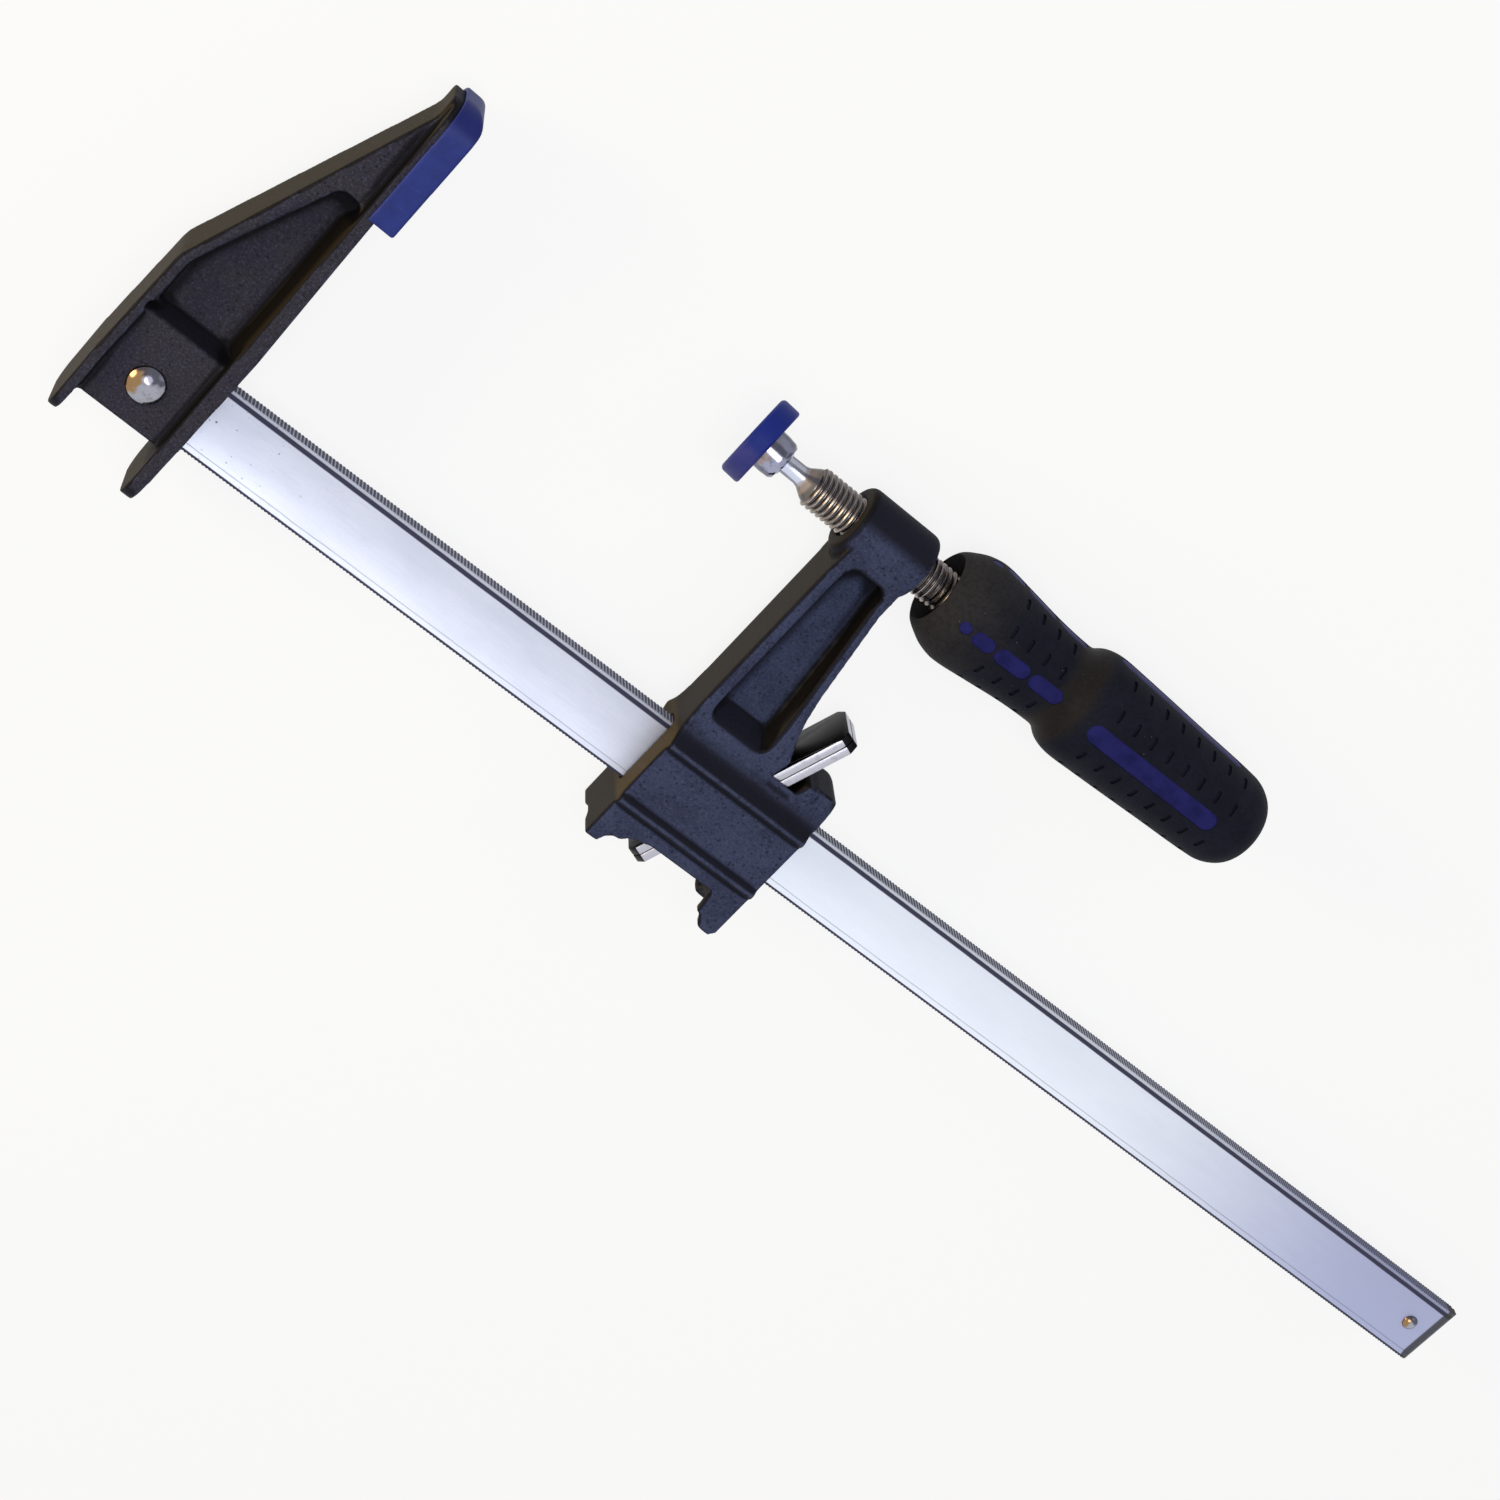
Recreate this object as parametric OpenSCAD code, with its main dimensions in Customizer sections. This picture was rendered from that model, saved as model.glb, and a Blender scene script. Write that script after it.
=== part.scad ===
// F-style bar clamp. A fixed jaw is riveted to a steel bar, and a sliding jaw with a
// plate clutch carries a threaded spindle, a swivel pad and a two-component handle.
// The clamp lies on its side. Lengths are in millimetres.
// Origin: the fixed jaw's clamping face, where the spindle's axis meets it.
// +X runs along the bar to its free end, +Y from the bar to the jaw tips, +Z is up.

/* [Bar] */
// Width of the bar
bar_w = 25.4; // [23:0.1:27]
// Thickness of the bar
bar_t = 6; // [5:0.1:7]
// Length of the bar beyond the clamping face
bar_reach = 534.8; // [450:0.1:900]
// Width of the flat rim along each edge of the bar
rim_w = 1.2; // [0.8:0.1:2]
// Width of the slope between a rim and the web
slope_w = 1.7; // [1:0.1:2.5]
// Depth of the web below the rims
web_recess = 0.6; // [0.3:0.1:1]
// Length of the bevel at the free end
end_bevel = 2.2; // [1:0.1:3]

/* [Stop pin] */
// Diameter of the stop pin's domed ends
stop_d = 5.6; // [4.5:0.1:7]
// Diameter of the stop pin's shank
stop_shank_d = 4; // [3:0.1:4.2]
// Height of each dome above the web
stop_rise = 1.8; // [1.2:0.1:2.4]
// Distance from the bar's free end to the stop pin
stop_inset = 11.2; // [8:0.1:20]

/* [Fixed jaw] */
// Distance from the spindle's axis to the middle of the bar
throat = 100.5; // [90:0.1:130]
// Lean of the fixed jaw towards the sliding jaw, in degrees
head_toe = 0.95; // [0:0.05:2]
// Depth of the fixed jaw along the bar, without its cap
head_depth = 37.2; // [34:0.1:42]
// Width of the fixed jaw across its flanges
head_w = 27; // [24:0.1:30]
// Height of the jaw tip above the spindle's axis
tip_rise = 24.2; // [20:0.1:30]
// Corner radius of the jaw tip
tip_r = 8.5; // [5:0.1:11]
// Thickness of the jaw tip
tip_t = 5.6; // [4:0.1:7]
// Distance from the spindle's axis to the foot of the tip
tip_foot = 17; // [12:0.1:19]
// Height of the bend in the back above the bar's middle
bend_rise = 38; // [34:0.1:44]
// How much the back leans in between the bar and the bend
bend_lean = 1.4; // [0:0.1:2]
// Width of the back flange at the tip
back_tip_w = 16; // [12:0.1:24]
// Bulge of the clamping face above the bar
face_bulge = 1.4; // [0:0.1:2]
// Thickness of the clamping flange
face_flange_t = 4.3; // [3.5:0.1:5]
// Thickness of the back flange
back_flange_t = 3.4; // [3:0.1:4.4]
// Length of the clamping flange's fin below the bar's middle
face_fin = 33.4; // [28:0.1:36]
// Length of the back flange's fin below the bar's middle
back_fin = 24.6; // [20:0.1:26]
// Corner radius of the fins
fin_r = 8; // [5:0.1:11]
// Height of the rivet block above the bar's middle
block_rise = 18.8; // [17:0.1:22]
// Thickness of the rivet block and the upper web
head_web_t = 20; // [17:0.1:22]
// Thickness of the web in the pocket
pocket_web_t = 8; // [6:0.1:12]
// Corner radius of the pocket
head_pocket_r = 4.5; // [2:0.1:5]

/* [Head rivet] */
// Diameter of the rivet's domed heads
rivet_d = 12.3; // [10:0.1:14]
// Height of each domed head
rivet_rise = 3; // [2:0.1:3.4]
// Diameter of the rivet's shank
rivet_shank_d = 8; // [6:0.1:9]

/* [Jaw cap] */
// Thickness of the cap in front of the clamping flange
cap_t = 6.6; // [4:0.1:8]
// Thickness of the cap round the flange's edge
cap_wall = 1.6; // [1.2:0.1:2.4]
// Length of the cap below the spindle's axis
cap_drop = 17.8; // [14:0.1:24]
// How far the cap's rim reaches back over the flange's edge
cap_lip = 2.4; // [1:0.1:2.8]
// Radius of the cap's front corner at the tip
cap_nose_r = 5.5; // [2:0.1:8]

/* [Sliding jaw] */
// Distance from the clamping face to the sliding jaw's body
jaw_x = 166; // [150:0.1:300]
// Length of the body along the bar
body_len = 56.6; // [54:0.1:62]
// Width of the body across its side plates
body_w = 28.3; // [27:0.1:32]
// Height of the front shoulder above the bar's middle
front_rise = 13; // [12.9:0.1:16]
// Height of the clutch shoulder above the bar's middle
shoulder_rise = 27; // [25:0.1:30]
// Depth of the side plates below the bar's middle
plate_drop = 21.2; // [19:0.1:23]
// Depth of the front feet below the bar's middle
front_foot = 30.7; // [26:0.1:34]
// Depth of the rear feet below the bar's middle
rear_foot = 34.4; // [32:0.1:38]
// Thickness of the front wall below the bar
front_wall = 7; // [5:0.1:9]
// Thickness of the rear wall below the bar
rear_wall = 6.6; // [5:0.1:7.5]
// Thickness of the shoulder behind the clutch slot
shoulder_wall = 8.2; // [7:0.1:9]
// Height of the side beads above the side plates
bead_h = 1.6; // [0.8:0.1:2.2]
// Width of a side bead at its foot
bead_w = 4.6; // [3.6:0.1:5.5]
// Gap between the bar and the slot it slides in
slide_gap = 0.25; // [0.15:0.01:0.4]

/* [Arm] */
// Width of the arm across its flanges
arm_w = 19.6; // [16:0.1:20.6]
// Thickness of the arm's web
arm_web_t = 6; // [4:0.1:9]
// Thickness of the arm's two flanges
arm_flange_t = 4.5; // [3.5:0.1:5.5]
// Corner radius of the arm's pocket
arm_pocket_r = 4; // [2:0.1:5]
// Outer diameter of the boss
boss_d = 23.6; // [22:0.1:28]
// Length of the boss
boss_len = 28.1; // [24:0.1:32]
// How far the boss stands in front of the body
boss_front = 3.4; // [2.6:0.1:5]
// Edge radius of the boss
boss_r = 2.4; // [1:0.1:3]

/* [Clutch] */
// Tilt of the gripping plates from square, in degrees
grip_tilt = 19; // [17:0.5:20]
// Thickness of one clutch plate
plate_t = 2.9; // [2.4:0.1:3.1]
// Gap between the two clutch plates
plate_gap = 0.2; // [0.1:0.05:0.4]
// Width of a clutch plate
plate_w = 20; // [17:0.1:20]
// Length of a clutch plate above the heel it leans on
lever_up = 23.8; // [16:0.1:30]
// Length of a clutch plate below the heel
lever_down = 57; // [54:0.1:59]
// Corner cut of a clutch plate
plate_corner = 2.6; // [1:0.1:4]
// Distance from the heel to the body's rear
heel_back = 21.1; // [20.4:0.1:21.6]
// Height of the heel above the bar's middle
heel_rise = 25; // [24.5:0.1:26]
// Gap between a gripping plate and the bar's edge
grip_gap = 0.15; // [0.05:0.01:0.3]
// Release travel of the plates, in degrees
release_angle = 12; // [6:0.5:12]

/* [Clutch spring] */
// Wire diameter of the spring
wire_d = 0.9; // [0.7:0.05:1]
// Outer diameter of the spring
spring_d = 7.4; // [6.4:0.1:7.6]
// Number of turns
spring_turns = 7; // [5:1:8]
// Length of the peg that holds the spring
peg_len = 4; // [2:0.1:6]

/* [Spindle] */
// Major diameter of the thread
thread_d = 14; // [12:0.1:15]
// Pitch of the thread
pitch = 2; // [1.5:0.25:3]
// Depth of the thread
thread_depth = 1.15; // [0.6:0.05:1.2]
// Radial gap between the thread and the boss
thread_gap = 0.05; // [0.01:0.01:0.1]
// Diameter of the neck behind the ball
neck_d = 6.5; // [5.5:0.1:6.6]
// Diameter of the ball
ball_d = 9.2; // [8.8:0.1:9.4]
// Distance from the ball's middle to the front of the boss
ball_out = 30.5; // [28:0.1:34]
// Length of the neck, from the ball's middle to the taper
neck_len = 10.6; // [8:0.1:13]
// Length of the taper between the neck and the thread
taper_len = 4; // [2:0.1:6]
// Length of thread between the boss and the handle
thread_out = 8.6; // [5:0.1:12]
// Length of the plain tang inside the handle
tang_len = 62; // [40:0.1:70]
// Diameter of the tang
tang_d = 9; // [7:0.1:11]

/* [Swivel pad] */
// Droop of the pad under its own weight, in degrees
pad_droop = 16.7; // [5:0.1:16.7]
// Diameter of the pad's cap
pad_d = 28.4; // [26:0.1:34]
// Thickness of the pad's cap
pad_t = 7.1; // [6:0.1:9]
// Distance from the ball's middle to the pad's front face
pad_front = 10.2; // [9.9:0.1:12]
// Wall of the pad's cap
pad_wall = 1.6; // [1:0.1:2]
// Thickness of the steel plate in the pad's cap
swivel_plate_t = 2; // [1.5:0.1:2.5]
// Diameter of the swivel cup
cup_d = 15; // [14.6:0.1:17]
// Diameter of the cup's rear edge
cup_rear_d = 12; // [10.4:0.1:12.6]
// Distance from the ball's middle to the cup's rear face
cup_rear = 3.4; // [3.2:0.1:3.6]
// Thickness of the ball's liner
liner_t = 0.75; // [0.5:0.05:0.8]
// Radial gap between ball, liner and cup
ball_gap = 0.05; // [0.02:0.01:0.08]

/* [Handle] */
// Length of the handle
handle_len = 138.4; // [120:0.1:170]
// Diameter of the front swell
swell_d = 37.4; // [33:0.1:42]
// Diameter of the waist
waist_d = 31; // [28:0.1:33]
// Diameter of the rear body where it is widest
rear_d = 39; // [35:0.1:44]
// Diameter of the rear body near its end
rear_end_d = 33.4; // [30:0.1:35]
// Diameter of the mouth's floor, round the thread
mouth_d = 16.4; // [15.5:0.1:18]
// Diameter of the mouth at the handle's front
mouth_rim_d = 24; // [20:0.1:27]
// Depth of the mouth
mouth_depth = 8; // [4:0.1:12]
// Thickness of the soft grip over the core
grip_t = 3.2; // [2:0.1:4.5]
// Width of the core's longest inlays
inlay_w = 6.6; // [4:0.1:8]
// How far the inlays lie below the grip's surface
inlay_sink = 0.2; // [0:0.05:0.5]
// Gap between pieces that are moulded or pushed together
seat_gap = 0.03; // [0.01:0.01:0.05]

/* [Hidden] */

$fn = 64;
// Overrun of every cut past the faces it opens
over = 1;
arc_steps = 6;

// Bar
flange_x = -cap_t * cos(head_toe) - throat * sin(head_toe);
bar_tail = head_depth - back_flange_t - bend_lean - face_flange_t * 0.5;
bar_tail_x = flange_x - bar_tail;
web_z = bar_t / 2 - web_recess;
stop_x = bar_reach - stop_inset;
bar_section = [
    [bar_w / 2, bar_t / 2], [bar_w / 2 - rim_w, bar_t / 2],
    [bar_w / 2 - rim_w - slope_w, web_z], [-bar_w / 2 + rim_w + slope_w, web_z],
    [-bar_w / 2 + rim_w, bar_t / 2], [-bar_w / 2, bar_t / 2],
    [-bar_w / 2, -bar_t / 2], [-bar_w / 2 + rim_w, -bar_t / 2],
    [-bar_w / 2 + rim_w + slope_w, -web_z], [bar_w / 2 - rim_w - slope_w, -web_z],
    [bar_w / 2 - rim_w, -bar_t / 2], [bar_w / 2, -bar_t / 2]
];

// Fixed jaw, in a frame that leans by head_toe, with its flange at x = 0
block_bottom_share = 0.75;
bend = [-head_depth + bend_lean, -throat + bend_rise];
back_slope = atan((-tip_t - bend[0]) / (tip_foot - bend[1]));
back_shift = back_flange_t / cos(back_slope);
block_bottom = -throat - block_rise * block_bottom_share;
recess_top = bend[1] + (-bend[0] - back_shift - face_flange_t) / tan(back_slope);
pocket_draft = face_flange_t * 0.8;
rivet_x = flange_x - head_depth / 2;
pocket_top = -cap_drop + face_flange_t * 0.2;
pocket_bottom = -throat + block_rise + pocket_draft;
bulge_y = -throat + bend_rise * 0.7;
pocket_side = bend[0] + back_shift;
pocket_edge = back_flange_t * 0.6;
pocket_top_x = pocket_side + pocket_edge + (pocket_top - bend[1]) * tan(back_slope);

// Sliding jaw, in a frame with its front face at x = 0 and the bar's middle at y = 0
heel_x = body_len - heel_back;
slot_w = plate_w + 4 * slide_gap;
stack_t = 2 * plate_t + plate_gap;
channel_back = body_len - rear_wall;
slot_back = body_len - shoulder_wall;
freed_tilt = grip_tilt - release_angle;
lean_gap = 2 * grip_gap;
chamber_back = body_len - 1.6 * rear_wall;
spring_y = -(bar_w / 2 + slide_gap * 2 + spring_d / 2);
spring_tip = heel_x + (spring_y + spring_d / 2 - heel_rise) * tan(grip_tilt)
    + stack_t / cos(grip_tilt) + lean_gap;
peg_d = spring_d - 2 * wire_d - 6 * slide_gap;

// Feet of the side plates, as shares of the body's length and of each foot's depth
front_foot_shares = [[0, 1], [0.088, 1], [0.108, 0.9], [0.14, 0.85], [0.19, 0.83], [0.226, 0.76]];
rear_foot_shares = [[0.8, 0.6], [0.82, 0.86], [0.85, 0.88], [0.89, 0.99], [0.97, 1], [1, 0.94]];
// Rear edge of the arm: x as shares of the heel's distance, y as shares of the throat
arm_back_shares = [
    [1.02, 0.25], [0.905, 0.355], [0.845, 0.42], [0.79, 0.51], [0.725, 0.665],
    [0.65, 0.84], [0.64, 0.9], [0.64, 1]
];
// Corners of the shoulder, as shares of the body's length and of the shoulder's height
shoulder_shares = [
    [1, 0.48], [1.015, 0.62], [1.028, 0.78], [1.03, 0.9], [1.015, 0.965], [0.975, 1], [0.92, 1]
];
// Half width of the casting up the arm: y as shares of the throat, and the share of
// the way from the arm's half width to the body's
flare_shares = [
    [0.13, 1], [0.145, 0.68], [0.165, 0.45], [0.19, 0.28], [0.215, 0.17], [0.26, 0.06], [0.32, 0]
];
// The same near the boss, with the share of the way to the boss's radius
neck_shares = [[0.82, 0], [0.87, 0.25], [0.91, 0.6], [0.95, 1], [1, 1]];

// Spindle, pad and handle, along the spindle's axis
boss_x = jaw_x - boss_front;
ball_x = boss_x - ball_out;
thread_start = ball_x + neck_len + taper_len;
handle_x = boss_x + boss_len + thread_out;
thread_end = handle_x + mouth_depth;
minor_r = thread_d / 2 - thread_depth;
ring_count = floor((thread_end - thread_start) / pitch);
ball_r = ball_d / 2;
liner_in = ball_r + ball_gap;
liner_out = liner_in + liner_t;
cup_in = liner_out + ball_gap;
liner_back_share = 0.26;
cup_mouth_r = neck_d / 2 / cos(pad_droop) + cup_rear * tan(pad_droop) + 2 * ball_gap;
pad_rear = pad_front - pad_t;

// Outline of the grip: x as shares of the handle's length, with the radius there
grip_outline = [
    [0, mouth_rim_d * 0.52], [0.008, swell_d * 0.375], [0.03, swell_d * 0.425],
    [0.06, swell_d * 0.475], [0.1, swell_d * 0.5], [0.18, swell_d * 0.472],
    [0.28, waist_d * 0.52], [0.36, waist_d * 0.5], [0.395, waist_d * 0.51],
    [0.425, rear_d * 0.47], [0.46, rear_d * 0.5], [0.52, rear_d * 0.497],
    [0.74, (rear_d + rear_end_d) * 0.247], [0.91, rear_end_d * 0.5],
    [0.945, rear_end_d * 0.46], [0.975, rear_end_d * 0.37], [0.993, rear_end_d * 0.22], [1, 0]
];
// Inlays of the core: the start and end of each as shares of the handle's length, and
// its width as a share of the longest inlays' width
inlay_shares = [
    [0.05, 0.08, 0.6], [0.089, 0.1535, 0.75], [0.1605, 0.262, 0.8], [0.268, 0.365, 0.8],
    [0.45, 0.856, 1]
];
inlay_sides = 4;

// Points of an arc that rounds the corner b of the path a, b, c with radius r
function unit2(v) = v / norm(v);
function corner(a, b, c, r) =
    let (u = unit2(a - b), v = unit2(c - b), half = acos(u * v) / 2,
         m = b + unit2(u + v) * r / sin(half), start = b + u * r / tan(half) - m,
         end = b + v * r / tan(half) - m,
         from = atan2(start[1], start[0]), raw = atan2(end[1], end[0]) - from,
         turn = raw > 180 ? raw - 360 : raw < -180 ? raw + 360 : raw)
    [for (i = [0:arc_steps]) m + r * [cos(from + turn * i / arc_steps), sin(from + turn * i / arc_steps)]];
// The outline p with its corners rounded by the radii r, where 0 keeps a corner sharp
function rounded(p, r) =
    let (n = len(p))
    [for (i = [0:n - 1]) each r[i] == 0 ? [p[i]] : corner(p[(i + n - 1) % n], p[i], p[(i + 1) % n], r[i])];

// Draws its children above and below the middle plane
module both_sides() {
    children();
    mirror([0, 0, 1]) children();
}

// Puts its children in the leaning frame of the fixed jaw
module leaning() {
    rotate([0, 0, -head_toe]) translate([-cap_t, 0, 0]) children();
}

// Cuts the square corner of a flange's end into an arc, from x0 to x1
module corner_cut(x0, x1, y, up, half_w, r) {
    both_sides() translate([x0, y, half_w]) difference() {
        translate([0, up ? -r : -over, -r]) cube([x1 - x0, r + over, r + over]);
        translate([-over, up ? -r : r, -r]) rotate([0, 90, 0]) cylinder(h = x1 - x0 + 2 * over, r = r);
    }
}

// A disc's worth of sphere that stands h high on a circle of diameter d
module dome(d, h) {
    ball = (d * d / 4 + h * h) / (2 * h);
    intersection() {
        translate([0, 0, h - ball]) sphere(r = ball);
        cylinder(h = h + over, d = d);
    }
}

module bar() {
    color("silver") translate([0, -throat, 0]) difference() {
        translate([bar_tail_x, 0, 0]) rotate([90, 0, 90])
            linear_extrude(height = bar_reach - bar_tail_x) polygon(bar_section);
        both_sides() translate([bar_reach, 0, bar_t / 2]) rotate([90, 0, 0])
            linear_extrude(height = bar_w + 2 * over, center = true)
                polygon([[-end_bevel, 0], [-end_bevel, over], [over, over],
                         [over, -bar_t / 4], [0, -bar_t / 4]]);
        translate([rivet_x, 0, 0])
            cylinder(h = bar_t + 2 * over, d = rivet_shank_d + 2 * seat_gap, center = true);
        translate([stop_x, 0, 0])
            cylinder(h = bar_t + 2 * over, d = stop_shank_d + 2 * seat_gap, center = true);
    }
}

module bar_stop_pin() {
    color("gainsboro") translate([stop_x, -throat, 0]) {
        cylinder(h = 2 * web_z, d = stop_shank_d, center = true);
        both_sides() translate([0, 0, web_z]) dome(stop_d, stop_rise);
    }
}

// The side view of the fixed jaw, with a fin below the bar on each flange
function head_outline() = rounded([
    [0, tip_rise], [0, -cap_drop], [face_bulge, bulge_y], [face_bulge / 2, -throat - bar_w / 2],
    [0, -throat - face_fin], [-face_flange_t, -throat - face_fin],
    [-face_flange_t, block_bottom], [-head_depth + back_flange_t, block_bottom],
    [-head_depth + back_flange_t, -throat - back_fin], [-head_depth, -throat - back_fin],
    [-head_depth, -throat], bend, [-tip_t, tip_foot], [-tip_t, tip_rise]
], [0, 0, bend_rise, bend_rise, back_flange_t / 4, back_flange_t / 4, 0, back_flange_t / 2,
    back_flange_t / 4, back_flange_t / 4, bend_rise / 3, bend_rise / 3, bend_rise / 3, 0]);

// The recess between the flanges, which runs out of the block at the bottom
function head_recess() = [
    [-face_flange_t, block_bottom - over], [-face_flange_t, recess_top],
    [bend[0] + back_shift, bend[1]], [-head_depth + back_flange_t, -throat],
    [-head_depth + back_flange_t, block_bottom - over]
];

// The deep pocket above the rivet block
function head_pocket() = rounded([
    [-face_flange_t, pocket_bottom], [-face_flange_t, pocket_top], [pocket_top_x, pocket_top],
    [pocket_side, bend[1]], [pocket_side, pocket_bottom]
], [head_pocket_r / 3, head_pocket_r, head_pocket_r, 2 * head_pocket_r, head_pocket_r / 3]);

module fixed_jaw() {
    color("#26272d") difference() {
        leaning() difference() {
            linear_extrude(height = head_w, center = true) polygon(head_outline());
            both_sides() translate([0, 0, head_web_t / 2])
                linear_extrude(height = head_w) polygon(head_recess());
            both_sides() translate([0, 0, pocket_web_t / 2])
                linear_extrude(height = head_w) polygon(head_pocket());
            both_sides() translate([-head_depth + back_flange_t, 0, 0]) rotate([90, 0, 90])
                linear_extrude(height = head_depth - back_flange_t - face_flange_t) polygon([
                    [-throat + block_rise, head_w], [-throat + block_rise, head_web_t / 2],
                    [pocket_bottom, pocket_web_t / 2], [pocket_bottom, head_w]]);
            both_sides() translate([-head_depth - over, 0, 0]) rotate([90, 0, 90])
                linear_extrude(height = head_depth - face_flange_t + over) polygon([
                    [-throat, head_w / 2], [tip_rise + over, back_tip_w / 2],
                    [tip_rise + over, head_w], [-throat, head_w]]);
            corner_cut(-face_flange_t - over, over, tip_rise, true, head_w / 2, tip_r);
            corner_cut(-face_flange_t - over, over + face_bulge, -throat - face_fin, false,
                       head_w / 2, fin_r);
            corner_cut(-head_depth - over, -face_flange_t - over, -throat - back_fin, false,
                       head_w / 2, fin_r);
        }
        translate([bar_tail_x - seat_gap, -throat - bar_w / 2 - seat_gap, -bar_t / 2 - seat_gap])
            cube([bar_tail + cap_t + over, bar_w + 2 * seat_gap, bar_t + 2 * seat_gap]);
        translate([rivet_x, -throat, 0])
            cylinder(h = head_w, d = rivet_shank_d + 2 * seat_gap, center = true);
    }
}

module head_rivet() {
    color("gainsboro") translate([rivet_x, -throat, 0]) {
        cylinder(h = head_web_t, d = rivet_shank_d, center = true);
        both_sides() translate([0, 0, head_web_t / 2]) dome(rivet_d, rivet_rise);
    }
}

// The front view of the clamping flange's upper end, grown by a margin
module tip_outline(margin) {
    half = head_w / 2 + margin;
    r = tip_r + margin;
    round_y = tip_rise - tip_r;
    translate([-cap_drop, -half]) square([round_y + cap_drop, 2 * half]);
    translate([round_y, r - half]) square([r, 2 * (half - r)]);
    translate([round_y, half - r]) circle(r = r);
    translate([round_y, r - half]) circle(r = r);
}

// The side view of the cap, whose front is rounded off at the tip
function cap_outline() = rounded([
    [-cap_lip, -cap_drop], [cap_t, -cap_drop], [cap_t, tip_rise + cap_wall],
    [-cap_lip, tip_rise + cap_wall]
], [0, cap_wall / 2, cap_nose_r, 0]);

module fixed_jaw_cap() {
    color("#2b3a9c") leaning() difference() {
        intersection() {
            translate([-cap_lip, 0, 0]) rotate([0, 90, 0]) rotate([0, 0, 90])
                linear_extrude(height = cap_t + cap_lip) tip_outline(cap_wall);
            linear_extrude(height = head_w + 2 * cap_wall + over, center = true) polygon(cap_outline());
        }
        translate([-cap_lip - over, 0, 0]) rotate([0, 90, 0]) rotate([0, 0, 90])
            linear_extrude(height = cap_lip + over + seat_gap) tip_outline(seat_gap);
        translate([-cap_lip - over, -cap_drop - over, -head_w / 2 - seat_gap])
            cube([cap_lip + over + seat_gap, 2 * over, head_w + 2 * seat_gap]);
    }
}

// The side view of the sliding jaw's casting
function jaw_outline() = concat(
    [for (s = front_foot_shares) [s[0] * body_len, -s[1] * front_foot]],
    [[front_wall + plate_drop * 0.6, -plate_drop], [body_len * rear_foot_shares[0][0], -plate_drop]],
    [for (i = [1:len(rear_foot_shares) - 1])
        [rear_foot_shares[i][0] * body_len, -rear_foot_shares[i][1] * rear_foot]],
    [for (s = shoulder_shares) [s[0] * body_len, s[1] * shoulder_rise]],
    [[arm_back_shares[0][0] * heel_x, shoulder_rise]],
    [for (i = [1:len(arm_back_shares) - 1])
        [arm_back_shares[i][0] * heel_x, arm_back_shares[i][1] * throat]],
    [[0, throat]]
);

// The front view of the casting, from the feet to the boss
function jaw_front() =
    let (side = [for (s = flare_shares) [s[0] * throat, arm_w / 2 + s[1] * (body_w - arm_w) / 2]],
         top = [for (s = neck_shares) [s[0] * throat, arm_w / 2 + s[1] * (boss_d - arm_w) / 2]],
         half = concat([[-rear_foot - over, body_w / 2]], side, top))
    concat(half, [for (i = [len(half) - 1:-1:0]) [half[i][0], -half[i][1]]]);

// The space that the clutch plates sweep between gripping and release
function clutch_space() =
    let (low = -rear_foot - over, grip = tan(grip_tilt), free = tan(freed_tilt),
         face = heel_x - lean_gap / cos(grip_tilt))
    [
        [face + (-bar_w / 2 - slide_gap - heel_rise) * grip, -bar_w / 2 - slide_gap], [face, heel_rise],
        [face + (shoulder_rise + over - heel_rise) * free, shoulder_rise + over],
        [heel_x + 2 * heel_rise * free, shoulder_rise + 2 * heel_rise],
        [slot_back, shoulder_rise + 2 * heel_rise], [slot_back, bar_w / 2 + slide_gap],
        [chamber_back, bar_w / 2 + slide_gap], [chamber_back, -bar_w / 2 - slide_gap],
        [channel_back, -bar_w / 2 - slide_gap], [channel_back, low], [front_wall, low],
        [front_wall, -bar_w / 2 - slide_gap]
    ];

// The pocket in each side of the arm
function arm_pocket() =
    let (low = shoulder_rise * 0.9, high = throat - boss_d / 2 + arm_flange_t * 0.6,
         root = arm_back_shares[2][0] * heel_x, top = arm_back_shares[5][0] * heel_x)
    rounded([
        [arm_flange_t, low], [root - arm_flange_t * 0.6, low],
        [root - arm_flange_t * 0.7, low + body_len * 0.2],
        [top - arm_flange_t, high], [arm_flange_t, high]
    ], [arm_pocket_r, arm_pocket_r, 2 * arm_pocket_r, arm_pocket_r, arm_pocket_r]);

module bead(y) {
    both_sides() translate([0, y, body_w / 2]) rotate([90, 0, 90]) linear_extrude(height = body_len)
        polygon([[-bead_w / 2, -over], [bead_w / 2, -over], [bead_w / 2, 0],
                 [bead_w / 2 - bead_h, bead_h], [-bead_w / 2 + bead_h, bead_h], [-bead_w / 2, 0]]);
}

module boss_solid() {
    arc = [for (i = [0:arc_steps]) 90 * i / arc_steps];
    rotate([0, 90, 0]) rotate_extrude() polygon(concat(
        [[0, 0]], [for (a = arc) [boss_d / 2 - boss_r + boss_r * sin(a), boss_r - boss_r * cos(a)]],
        [for (a = arc) [boss_d / 2 - boss_r + boss_r * cos(a), boss_len - boss_r + boss_r * sin(a)]],
        [[0, boss_len]]));
}

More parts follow.
